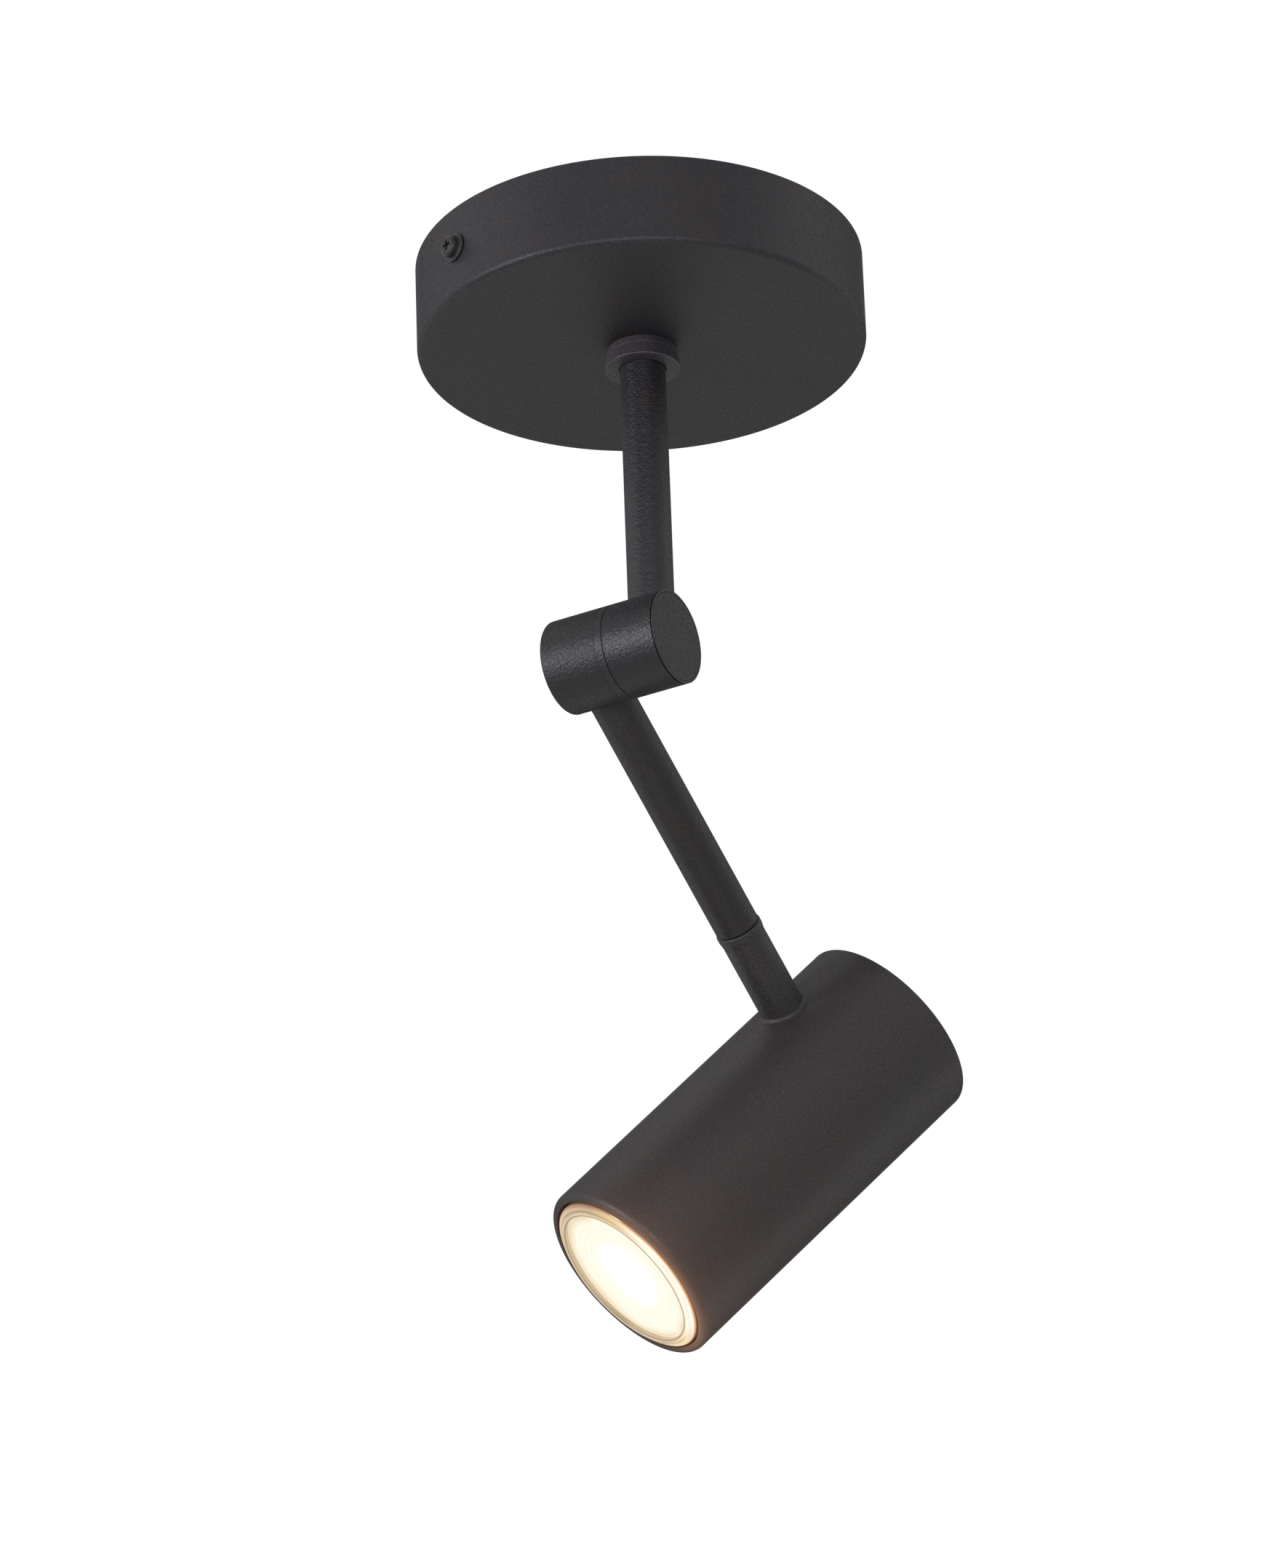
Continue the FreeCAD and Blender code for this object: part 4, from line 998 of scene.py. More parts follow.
def kept(body: Body, *rows: tuple[str, Finish, float]) -> list[bpy.types.Object]:
    """Copy frame pieces that keep their shape.

    Args:
        body: the body that they ride on.
        rows: each piece's name in the frame, its finish and the width of its broken edges.

    Returns:
        The copies.
    """
    return [fit(carried(node, edge_mm), finish, body, node) for node, finish, edge_mm in rows]


def dress_node(node: str, finish: Finish) -> None:
    """Put a finish on a frame piece that stays.

    Args:
        node: the frame's piece.
        finish: its finish.
    """
    mesh = frame["nodes"][node].data
    mesh.materials.clear()
    mesh.materials.append(finish.material())


def axis_frame(origin: Vector, x: Vector, z: Vector) -> Matrix:
    """Frame in millimetres from its origin and two directions.

    Args:
        origin: where it stands, in metres.
        x: its X direction.
        z: its Z direction.

    Returns:
        Matrix from the frame's millimetres to the row frame's metres.
    """
    y = z.cross(x)
    turn = Matrix((x, y, z)).transposed().to_4x4()
    return Matrix.Translation(origin) @ turn @ Matrix.Scale(MM, 4)


def joint_line(name: str) -> tuple[Vector, Vector]:
    """A joint's point and axis."""
    found = next(joint for joint in frame["joints"] if joint["name"] == name)
    return Vector(found["pos_m"]), Vector(found["axis"]).normalized()


def meeting_point(line: tuple[Vector, Vector], other: tuple[Vector, Vector]) -> Vector:
    """Point of a line nearest to another line.

    Args:
        line: point and direction of the line that the result is on.
        other: point and direction of the other line.

    Returns:
        The nearest point.
    """
    (start, way), (far, other_way) = line, other
    apart = far - start
    lean = way.dot(other_way)
    run = (apart.dot(way) - apart.dot(other_way) * lean) / (1 - lean * lean)
    return start + way * run


ALONG_X = Matrix.Rotation(math.radians(90), 4, "Y")
UP = Vector((0, 0, 1))
KNUCKLE_TILT = joint_line("knuckle_tilt")
HEAD_SWIVEL = joint_line("head_swivel")
LAMP_TWIST = joint_line("lamp_twist")
CEILING_FRAME = Matrix.Scale(MM, 4)
BARREL_FRAME = axis_frame(KNUCKLE_TILT[0], KNUCKLE_TILT[1], UP) @ ALONG_X
ARM_FRAME = axis_frame(meeting_point(HEAD_SWIVEL, KNUCKLE_TILT), KNUCKLE_TILT[1], HEAD_SWIVEL[1])
HEAD_FRAME = axis_frame(meeting_point(HEAD_SWIVEL, LAMP_TWIST), LAMP_TWIST[1], -HEAD_SWIVEL[1])
SHELL_FRAME = HEAD_FRAME @ ALONG_X


class GrownPiece:
    """Geometry node tree with named inputs, grown into a plain mesh."""

    def __init__(self, name: str) -> None:
        """Start a tree with a geometry input, which stays unused, and its output.

        Args:
            name: name of the tree and the piece.
        """
        self.name = name
        self.tree = bpy.data.node_groups.new(name, "GeometryNodeTree")
        self.graph = Graph(self.tree)
        self.tree.interface.new_socket("Geometry", in_out="INPUT", socket_type="NodeSocketGeometry")
        self.tree.interface.new_socket("Geometry", in_out="OUTPUT", socket_type="NodeSocketGeometry")
        self.entry = self.graph.add("NodeGroupInput")
        self.exit = self.graph.add("NodeGroupOutput")
        self.settings: dict[str, object] = {}

    def input(self, name: str, kind: str, setting: object) -> Value:
        """Add a named input and what it is set to.

        Args:
            name: the input's name.
            kind: its socket type.
            setting: its value on the modifier.

        Returns:
            The input as a value.
        """
        socket = self.tree.interface.new_socket(name, in_out="INPUT", socket_type=kind)
        self.settings[socket.identifier] = setting
        return Value(self.graph, self.entry.outputs[name])

    def length(self, name: str, setting: float) -> Value:
        """Add a number input."""
        return self.input(name, "NodeSocketFloat", float(setting))

    def count(self, name: str, setting: int) -> Value:
        """Add a whole number input."""
        return self.input(name, "NodeSocketInt", setting)

    def grow(self, geometry: Value, finish: Finish, place: Matrix) -> bpy.types.Object:
        """Realise the geometry, set its material and make it a plain mesh.

        Args:
            geometry: the tree's result.
            finish: the finish set in the tree.
            place: the piece's frame.

        Returns:
            The piece, without a modifier.
        """
        whole = self.graph.make("GeometryNodeRealizeInstances", Geometry=geometry)
        coated = self.graph.make("GeometryNodeSetMaterial", Geometry=whole, Material=finish.material())
        self.graph.feed(self.exit.inputs["Geometry"], coated)
        carrier = bpy.data.objects.new(self.name, bpy.data.meshes.new(self.name))
        bpy.context.scene.collection.objects.link(carrier)
        modifier = carrier.modifiers.new(self.name, "NODES")
        modifier.node_group = self.tree
        for identifier, setting in self.settings.items():
            modifier[identifier] = setting
        mesh = baked(carrier)
        mesh.transform(place)
        return shown(self.name, mesh)


def grid_copies(
    name: str, pattern: bpy.types.Object, columns: int, rows: int, pitch: float, row_pitch: float,
    finish: Finish, place: Matrix,
) -> bpy.types.Object:
    """Set copies of a small piece in a grid.

    Args:
        name: name of the result.
        pattern: the small piece, in millimetres at the origin; removed afterwards.
        columns: copies along X.
        rows: copies along Y.
        pitch: distance along X.
        row_pitch: distance along Y.
        finish: the copies' finish.
        place: frame of the grid's middle.

    Returns:
        The copies as one piece.
    """
    grown = GrownPiece(name)
    graph = grown.graph
    across, along = grown.count("Columns", columns), grown.count("Rows", rows)
    step, row_step = grown.length("Pitch", pitch), grown.length("Row pitch", row_pitch)
    source = grown.input("Small piece", "NodeSocketObject", pattern)
    index = graph.make("GeometryNodeInputIndex")
    column = index.math("MODULO", across)
    row = (index / across).math("FLOOR")
    x = (column - (across - 1) / 2) * step
    y = (row - (along - 1) / 2) * row_step
    spot = graph.make("ShaderNodeCombineXYZ", X=x, Y=y)
    points = graph.make("GeometryNodePoints", Count=across * along, Position=spot)
    shape = graph.make("GeometryNodeObjectInfo", output="Geometry", Object=source)
    copies = graph.make("GeometryNodeInstanceOnPoints", Points=points, Instance=shape)
    piece = grown.grow(copies, finish, place)
    bpy.data.objects.remove(pattern)
    return piece


def polar_copies(
    name: str, pattern: bpy.types.Object, count: int, circle: float, finish: Finish, place: Matrix
) -> bpy.types.Object:
    """Set copies of a small piece round a circle, each with its Z axis pointing outwards.

    Args:
        name: name of the result.
        pattern: the small piece, in millimetres at the origin; removed afterwards.
        count: number of copies.
        circle: radius of the circle.
        finish: the copies' finish.
        place: frame of the circle's middle.

    Returns:
        The copies as one piece.
    """
    grown = GrownPiece(name)
    graph = grown.graph
    copies, radius = grown.count("Copies", count), grown.length("Circle radius", circle)
    source = grown.input("Small piece", "NodeSocketObject", pattern)
    index = graph.make("GeometryNodeInputIndex")
    turn = index / copies * FULL_TURN
    spot = graph.make(
        "ShaderNodeCombineXYZ", X=turn.math("COSINE") * radius, Y=turn.math("SINE") * radius
    )
    aim = graph.make("ShaderNodeCombineXYZ", Y=math.pi / 2, Z=turn)
    points = graph.make("GeometryNodePoints", Count=copies, Position=spot)
    shape = graph.make("GeometryNodeObjectInfo", output="Geometry", Object=source)
    ring = graph.make("GeometryNodeInstanceOnPoints", Points=points, Instance=shape, Rotation=aim)
    piece = grown.grow(ring, finish, place)
    bpy.data.objects.remove(pattern)
    return piece


# Sub-assemblies


@dataclass
class CrossScrew:
    """Washer-head screw with a tapered cross recess."""

    shank: float = 2.0
    shank_end: float = -4.32
    flange: float = 4.0
    flange_height: float = 0.8
    head: float = 2.9
    head_height: float = 2.8
    head_dome: float = 0.95
    recess_length: float = 3.3
    recess_width: float = 0.95
    recess_depth: float = 1.45
    recess_taper: float = 0.5
    recess_overshoot: float = 0.3
    pitch: float = 0.7
    thread_depth: float = 0.32
    thread_gap: float = 0.1
    tip: float = 0.3
    tip_step: float = 0.2
    flange_foot: float = 0.12
    flange_edge: float = 0.45
    head_lean: float = 0.12
    head_foot: float = 0.14

    def outline(self) -> list[Corner]:
        """List the corners of the screw without its recess.

        Returns:
            The corners.
        """
        core = self.shank - self.thread_depth
        thread = ridges(
            self.shank, self.shank_end + self.tip, -self.thread_gap, self.pitch, self.thread_depth,
        )
        return [
            Corner(0, self.shank_end), Corner(core - self.tip_step, self.shank_end),
            *thread, Corner(core, 0), Corner(self.flange, 0, self.flange_foot),
            Corner(self.flange, self.flange_height, self.flange_edge),
            Corner(self.head + self.head_lean, self.flange_height, self.head_foot),
            Corner(self.head, self.head_height, self.head_dome), Corner(0, self.head_height),
        ]

    def recess(self) -> bpy.types.Object:
        """Make the tapered cross that cuts the recess.

        Returns:
            The cutter.
        """
        shape = bmesh.new()
        half_length, half_width = self.recess_length / 2, self.recess_width / 2
        cross = []
        for quarter in range(4):
            turn = Matrix.Rotation(quarter * math.pi / 2, 2)
            for spot in ((half_width, half_width), (half_length, half_width), (half_length, -half_width)):
                cross.append(turn @ Vector(spot))
        cross.sort(key=lambda spot: math.atan2(spot.y, spot.x))
        low, high = self.head_height - self.recess_depth, self.head_height + self.recess_overshoot
        bottom = [shape.verts.new((*(spot * self.recess_taper), low)) for spot in cross]
        top = [shape.verts.new((*spot, high)) for spot in cross]
        shape.faces.new(bottom)
        shape.faces.new(top)
        for index in range(len(cross)):
            following = (index + 1) % len(cross)
            shape.faces.new((bottom[index], bottom[following], top[following], top[index]))
        return shown("recess_tool", settled("recess_tool", shape))

    def build(self) -> bpy.types.Object:
        """Make one screw in millimetres, its head along Z."""
        screw = turned("cross_screw", self.outline(), Matrix.Identity(4), FINE_SEGMENTS)
        return carved(screw, self.recess())


@dataclass
class SlottedScrew:
    """Small clamp screw with a slotted end, pointing up."""

    radius: float = 1.3
    length: float = 7.0
    slot_width: float = 0.45
    slot_depth: float = 0.9
    slot_turn: float = math.radians(35)
    edge: float = 0.2
    shank: float = 1.2
    pitch: float = 0.5
    thread_low: float = 1.4
    thread_depth: float = 0.14
    tip: float = 0.4
    tip_share: float = 0.6
    tip_edge: float = 0.1

    def build(self) -> bpy.types.Object:
        """Make one screw in millimetres, its slot at the low end.

        Returns:
            The screw.
        """
        thread = ridges(
            self.radius, self.thread_low, self.length - self.tip, self.pitch, self.thread_depth,
        )
        screw = turned("slotted_screw", [
            Corner(0, 0), Corner(self.radius, 0, self.edge), Corner(self.radius, self.shank), *thread,
            Corner(self.radius * self.tip_share, self.length, self.tip_edge), Corner(0, self.length),
        ], Matrix.Identity(4), SCREW_SEGMENTS)
        shape = bmesh.new()
        bmesh.ops.create_cube(shape, size=1.0)
        size = (4 * self.radius, self.slot_width, 2 * self.slot_depth)
        bmesh.ops.scale(shape, vec=size, verts=shape.verts)
        bmesh.ops.rotate(shape, matrix=Matrix.Rotation(self.slot_turn, 3, "Z"), verts=shape.verts)
        return carved(screw, shown("slot_tool", settled("slot_tool", shape)))


@dataclass
class CeilingCup:
    """Drawn cup with its screws, and the bracket, terminal block and wiring inside it."""

    radius: float = 60.0
    height: float = 25.5
    wall: float = 1.2
    edge: float = 1.7
    inner_edge: float = 0.5
    lip: float = 0.3
    hole: float = 7.0
    side_screws: int = 2
    screw_drop: float = 12.0
    poles: int = 3
    pole_pitch: float = 9.6
    pole_clamps: int = 2
    clamp_spacing: float = 8.6
    block_middle: float = 28.3
    clamp_screw_low: float = -12.85

    def build(self) -> list[bpy.types.Object]:
        """Make the cup, its screws and what is inside it.

        Returns:
            The pieces.
        """
        inner = self.radius - self.wall
        floor = self.wall - self.height
        cup = turned("cup", [
            Corner(self.hole, -self.height), Corner(self.radius, -self.height, self.edge),
            Corner(self.radius, 0, self.lip), Corner(inner, 0, self.lip),
            Corner(inner, floor, self.inner_edge), Corner(self.hole, floor),
        ], CEILING_FRAME, CUP_SEGMENTS)
        pieces = [fit(cup, BLACK, Body.CEILING, "ceiling_cup")]
        place = Matrix.Translation((0, 0, -self.screw_drop * MM)) @ CEILING_FRAME
        screws = polar_copies(
            "side_screws", CrossScrew().build(), self.side_screws, self.radius, SCREW_BLACK, place,
        )
        pieces.append(fit(screws, SCREW_BLACK, Body.CEILING, "cup_screws"))
        return pieces + self.inside()

    def inside(self) -> list[bpy.types.Object]:
        """Make the bracket, the terminal block and the wiring.

        Returns:
            The pieces.
        """
        middle = Vector((0, self.block_middle * MM, self.clamp_screw_low * MM))
        clamps = grid_copies(
            "clamp_screws", SlottedScrew().build(), self.poles, self.pole_clamps, self.pole_pitch,
            self.clamp_spacing, NICKEL, Matrix.Translation(middle) @ CEILING_FRAME,
        )
        return [fit(clamps, NICKEL, Body.CEILING, "terminal_screws")] + kept(
            Body.CEILING,
            ("mounting_bracket", ZINC, 0.18), ("terminal_block", NYLON, 0.25),
            ("terminal_sleeves", BRASS, 0.08), ("block_screw", ZINC, 0.1),
            ("earth_washer", BRASS, 0.12), ("earth_screw", BRASS, 0.1), ("swivel_stop_pin", ZINC, 0.2),
            ("live_core", BROWN, 0), ("neutral_core", BLUE, 0), ("earth_core", EARTH, 0),
        )


@dataclass
class Collar:
    """Two-tier collar under the cup: an upper ring and the bush that the stem turns in."""

    radius: float = 10.15
    top_radius: float = 9.1
    top: float = -25.5
    shoulder: float = -27.7
    bottom: float = -31.5
    hole: float = 7.0
    spigot_top: float = -21.3
    bearing: float = -28.5
    bore: float = 5.05
    mouth: float = 6.3
    edge: float = 0.3
    fine_edge: float = 0.12
    spigot_edge: float = 0.15
    groove: float = 0.16
    pitch: float = 1.0
    thread_depth: float = 0.2

    def build(self) -> list[bpy.types.Object]:
        """Make the ring, the bush and the nut that holds them.

        Returns:
            The pieces.
        """
        share = (self.top - self.shoulder) / (self.top - self.bottom)
        waist = self.top_radius + (self.radius - self.top_radius) * share
        ring = turned("collar_upper_tier", [
            Corner(self.hole, self.shoulder), Corner(waist, self.shoulder, self.groove),
            Corner(self.top_radius, self.top, self.fine_edge), Corner(self.hole, self.top),
        ], CEILING_FRAME)
        thread = ridges(self.hole, self.shoulder, self.spigot_top, self.pitch, self.thread_depth)
        bush = turned("collar_lower_tier", [
            Corner(self.bore, self.bearing), Corner(self.mouth, self.bearing),
            Corner(self.mouth, self.bottom, self.fine_edge),
            Corner(self.radius, self.bottom, self.edge),
            Corner(waist, self.shoulder, self.groove), *thread,
            Corner(self.bore, self.spigot_top, self.spigot_edge),
        ], CEILING_FRAME)
        return [
            fit(ring, COLLAR_LIT_BLACK, Body.CEILING, "collar_ring"),
            fit(bush, COLLAR_LIT_BLACK, Body.CEILING, "stem_collar"),
        ] + kept(Body.CEILING, ("collar_nut", ZINC, 0.15))


@dataclass
class Stem:
    """Straight stem with the swivel parts at its top."""

    radius: float = 6.15
    bore: float = 5.0
    top: float = -29.45
    foot: float = -103.6
    spindle_low: float = -43.45
    spindle_top: float = -15.5
    spindle_bore: float = 3.2
    edge: float = 0.2
    thread_low: float = -21.2
    thread_gap: float = 0.2
    thread_depth: float = 0.22
    pitch: float = 1.0
    tip_step: float = 0.4
    bore_edge: float = 0.3

    def build(self) -> list[bpy.types.Object]:
        """Make the tube, spindle, washers and nut.

        Returns:
            The pieces.
        """
        tube = turned("stem", [
            Corner(self.bore, self.foot), Corner(self.radius, self.foot, self.edge),
            Corner(self.radius, self.top, self.edge), Corner(self.bore, self.top),
        ], CEILING_FRAME)
        thread = ridges(
            self.bore, self.thread_low, self.spindle_top - self.thread_gap, self.pitch, self.thread_depth,
        )
        spindle = turned("swivel_spindle", [
            Corner(self.spindle_bore, self.spindle_low), Corner(self.bore, self.spindle_low),
            Corner(self.bore, self.thread_low - self.thread_gap), *thread,
            Corner(self.bore - self.tip_step, self.spindle_top),
            Corner(self.spindle_bore, self.spindle_top, self.bore_edge),
        ], CEILING_FRAME)
        return [
            fit(tube, TUBE_SHADED_BLACK, Body.STEM, "stem_tube"), fit(spindle, BRASS, Body.STEM, "stem_spindle"),
        ] + kept(
            Body.STEM,
            ("thrust_washer", NYLON, 0.1), ("stop_washer", ZINC, 0.15),
            ("stem_spring_washer", ZINC, 0.15), ("stem_nut", BRASS, 0.15), ("stem_lead", SHEATH, 0),
        )


@dataclass(frozen=True)
class BarrelHalf:
    """One half of the barrel, by its places along the pivot from the stem's axis."""

    name: str
    inner: float
    outer: float
    edge: float
    bore: float
    lined: bool = False

    @property
    def way(self) -> int:
        """Direction from its inner to its outer end."""
        return 1 if self.outer > self.inner else -1


@dataclass
class KnuckleBarrel:
    """Barrel across the stem's end: two halves, the ring between them and their end caps."""

    radius: float = 12.75
    chamber: float = 10.25
    web: float = 2.2
    rim: float = 0.7
    rim_edge: float = 0.08
    cap: float = 0.8
    cap_gap: float = 0.04
    cap_edge: float = 0.14
    seam: float = 0.12
    line_lip: float = 0.15
    line_width: float = 0.34
    line_depth: float = 0.45
    ring_right: float = -8.3
    upper: BarrelHalf = BarrelHalf(
        "barrel_upper_half", inner=-8.15, outer=7.2, edge=0.08, bore=4.05, lined=True,
    )
    lower: BarrelHalf = BarrelHalf("barrel_lower_half", inner=-10.6, outer=-27.2, edge=0.8, bore=4.0)

    def line(self, half: BarrelHalf) -> list[Corner]:
        """List the corners of the fine line turned beside a half's outer end.

        Args:
            half: the half.

        Returns:
            The corners, or none if it has no line.
        """
        if not half.lined:
            return []
        floor = self.radius - self.line_depth
        near = half.outer - half.way * self.line_lip
        far = half.outer - half.way * (self.line_lip + self.line_width)
        return [
            Corner(self.radius, far), Corner(floor, far), Corner(floor, near), Corner(self.radius, near),
        ]

    def half(self, half: BarrelHalf) -> bpy.types.Object:
        """Make one half as a turned shell.

        Args:
            half: its places and edges.

        Returns:
            The half.
        """
        rim = self.radius - self.rim
        seat, web = half.outer - half.way * self.cap, half.inner + half.way * self.web
        return turned(half.name, [
            Corner(half.bore, half.inner), Corner(self.radius, half.inner, self.seam), *self.line(half),
            Corner(self.radius, half.outer, half.edge), Corner(rim, half.outer, self.rim_edge),
            Corner(rim, seat), Corner(self.chamber, seat), Corner(self.chamber, web),
            Corner(half.bore, web),
        ], BARREL_FRAME)

    def end(self, name: str, half: BarrelHalf) -> bpy.types.Object:
        """Make the end cap of a half.

        Args:
            name: name of the piece.
            half: the half that it closes.

        Returns:
            The cap.
        """
        rim = self.radius - self.rim - self.cap_gap
        seat = half.outer - half.way * self.cap
        return turned(name, [
            Corner(0, seat), Corner(rim, seat), Corner(rim, half.outer, self.cap_edge),
            Corner(0, half.outer),
        ], BARREL_FRAME)

    def build(self) -> list[bpy.types.Object]:
        """Make the halves, the ring and the caps.

        Returns:
            The pieces.
        """
        upper, lower = self.half(self.upper), self.half(self.lower)
        bore, ring_left = self.lower.bore, self.lower.inner
        ring = turned("barrel_ring", [
            Corner(bore, ring_left), Corner(self.radius, ring_left, self.seam),
            Corner(self.radius, self.ring_right, self.seam), Corner(bore, self.ring_right),
        ], BARREL_FRAME)
        return [
            fit(upper, UPPER_SHADED_BLACK, Body.STEM, "knuckle_upper"),
            fit(self.end("upper_cap", self.upper), CAP_LIT_BLACK, Body.STEM, "upper_end_cap"),
            fit(lower, LOWER_SHADED_BLACK, Body.ARM, "knuckle_lower"),
            fit(self.end("lower_cap", self.lower), CAP_LIT_BLACK, Body.ARM, "lower_end_cap"),
            fit(ring, TUBE_SHADED_BLACK, Body.ARM, "friction_ring"),
        ]


@dataclass
class Arm:
    """Arm tube from the barrel to the swivel."""

    radius: float = 6.15
    bore: float = 5.0
    start: float = 8.5
    reach: float = 88.3
    edge: float = 0.12

    def build(self) -> list[bpy.types.Object]:
        """Make the tube.

        Returns:
            The tube, in a list.
        """
        tube = turned("arm", [
            Corner(self.bore, self.start), Corner(self.radius, self.start),
            Corner(self.radius, self.reach, self.edge), Corner(self.bore, self.reach),
        ], ARM_FRAME)
        return [fit(tube, ARM_SHADED_BLACK, Body.ARM, "arm_tube")]


@dataclass
class Neck:
    """Neck of the head, with a slightly flared round lip at the swivel."""

    radius: float = 6.15
    bore: float = 5.0
    gap: float = 0.35
    reach: float = 88.3
    length: float = 28.0
    stub: float = 2.0
    flare: float = 0.3
    lip: float = 3.6
    lip_edge: float = 0.5

    def build(self) -> list[bpy.types.Object]:
        """Make the neck.

        Returns:
            The neck, in a list.
        """
        top, foot = self.reach + self.gap, self.reach + self.length - self.stub
        lip = self.radius + self.flare
        tube = turned("neck", [
            Corner(self.bore, foot), Corner(self.radius, foot),
            Corner(self.radius, top + self.lip, self.lip),
            Corner(lip, top + self.lip / 2, self.lip / 2),
            Corner(lip, top, self.lip_edge), Corner(self.bore, top),
        ], ARM_FRAME)
        return [fit(tube, NECK_LIT_BLACK, Body.HEAD, "neck_tube")]


@dataclass
class HeadShell:
    """Cylindrical lamp head, open at the front, with the root of the neck on its side."""

    radius: float = 27.4
    wall: float = 1.5
    mouth: float = 25.1
    mouth_depth: float = 4.0
    mouth_step: float = 1.0
    front: float = 81.3
    rear: float = 25.7
    front_edge: float = 1.8
    inner_edge: float = 0.35
    rear_edge: float = 0.6
    rear_inner_edge: float = 0.5
    stub: float = 6.15
    stub_height: float = 2.0
    fillet: float = 1.2
    root_depth: float = 0.9
    root_segments: int = 96
    fillet_steps: int = 9

    def shell(self) -> bpy.types.Object:
        """Make the turned shell.

        Returns:
            The shell.
        """
        inner, floor = self.radius - self.wall, self.wall - self.rear
        ledge = self.front - self.mouth_depth
        return turned("shell", [
            Corner(0, -self.rear), Corner(self.radius, -self.rear, self.rear_edge),
            Corner(self.radius, self.front, self.front_edge),
            Corner(self.mouth, self.front, self.inner_edge), Corner(self.mouth, ledge),
            Corner(inner, ledge - self.mouth_step), Corner(inner, floor, self.rear_inner_edge),
            Corner(0, floor),
        ], SHELL_FRAME, WIDE_SEGMENTS)

    def root_column(self, turn: float) -> list[Vector]:
        """Points down the neck's root at one angle, from its top to below the shell's surface.

        Args:
            turn: angle round the neck.

        Returns:
            The points, along a ball that rolls between the neck and the shell.
        """
        way = Vector((math.cos(turn), math.sin(turn), 0))
        far, roll = self.stub + self.fillet, self.radius + self.fillet
        centre = way * far + UP * math.sqrt(roll**2 - (way.y * far) ** 2)
        on_shell = Vector((centre.x, centre.y * self.radius / roll, centre.z * self.radius / roll))
        start, end = -way, (on_shell - centre).normalized()
        points = [way * self.stub + UP * (self.radius + self.stub_height)]
        for step in range(self.fillet_steps + 1):
            points.append(centre + start.slerp(end, step / self.fillet_steps) * self.fillet)
        inward = Vector((0, on_shell.y, on_shell.z)).normalized()
        points.append(on_shell - inward * self.root_depth)
        return points

    def root(self) -> bpy.types.Object:
        """Make the neck's root, rounded into the shell.

        Returns:
            The root.
        """
        shape = bmesh.new()
        columns = []
        for index in range(self.root_segments):
            column = self.root_column(FULL_TURN * index / self.root_segments)
            columns.append([shape.verts.new(point) for point in column])
        for index, column in enumerate(columns):
            following = columns[(index + 1) % self.root_segments]
            for step in range(len(column) - 1):
                shape.faces.new((column[step], column[step + 1], following[step + 1], following[step]))
        shape.faces.new([column[0] for column in columns])
        shape.faces.new([column[-1] for column in columns])
        mesh = settled("root", shape)
        mesh.transform(HEAD_FRAME)
        return shown("root", mesh)

    def build(self) -> list[bpy.types.Object]:
        """Make the shell with its root, and dress the holder inside.

        Returns:
            The pieces.
        """
        whole = joined("head", [self.shell(), self.root()])
        return [fit(whole, HEAD_LIT_BLACK, Body.HEAD, "head_shell")] + kept(
            Body.HEAD, ("lamp_holder", CERAMIC, 0.3), ("holder_bracket", ZINC, 0.15),
        )


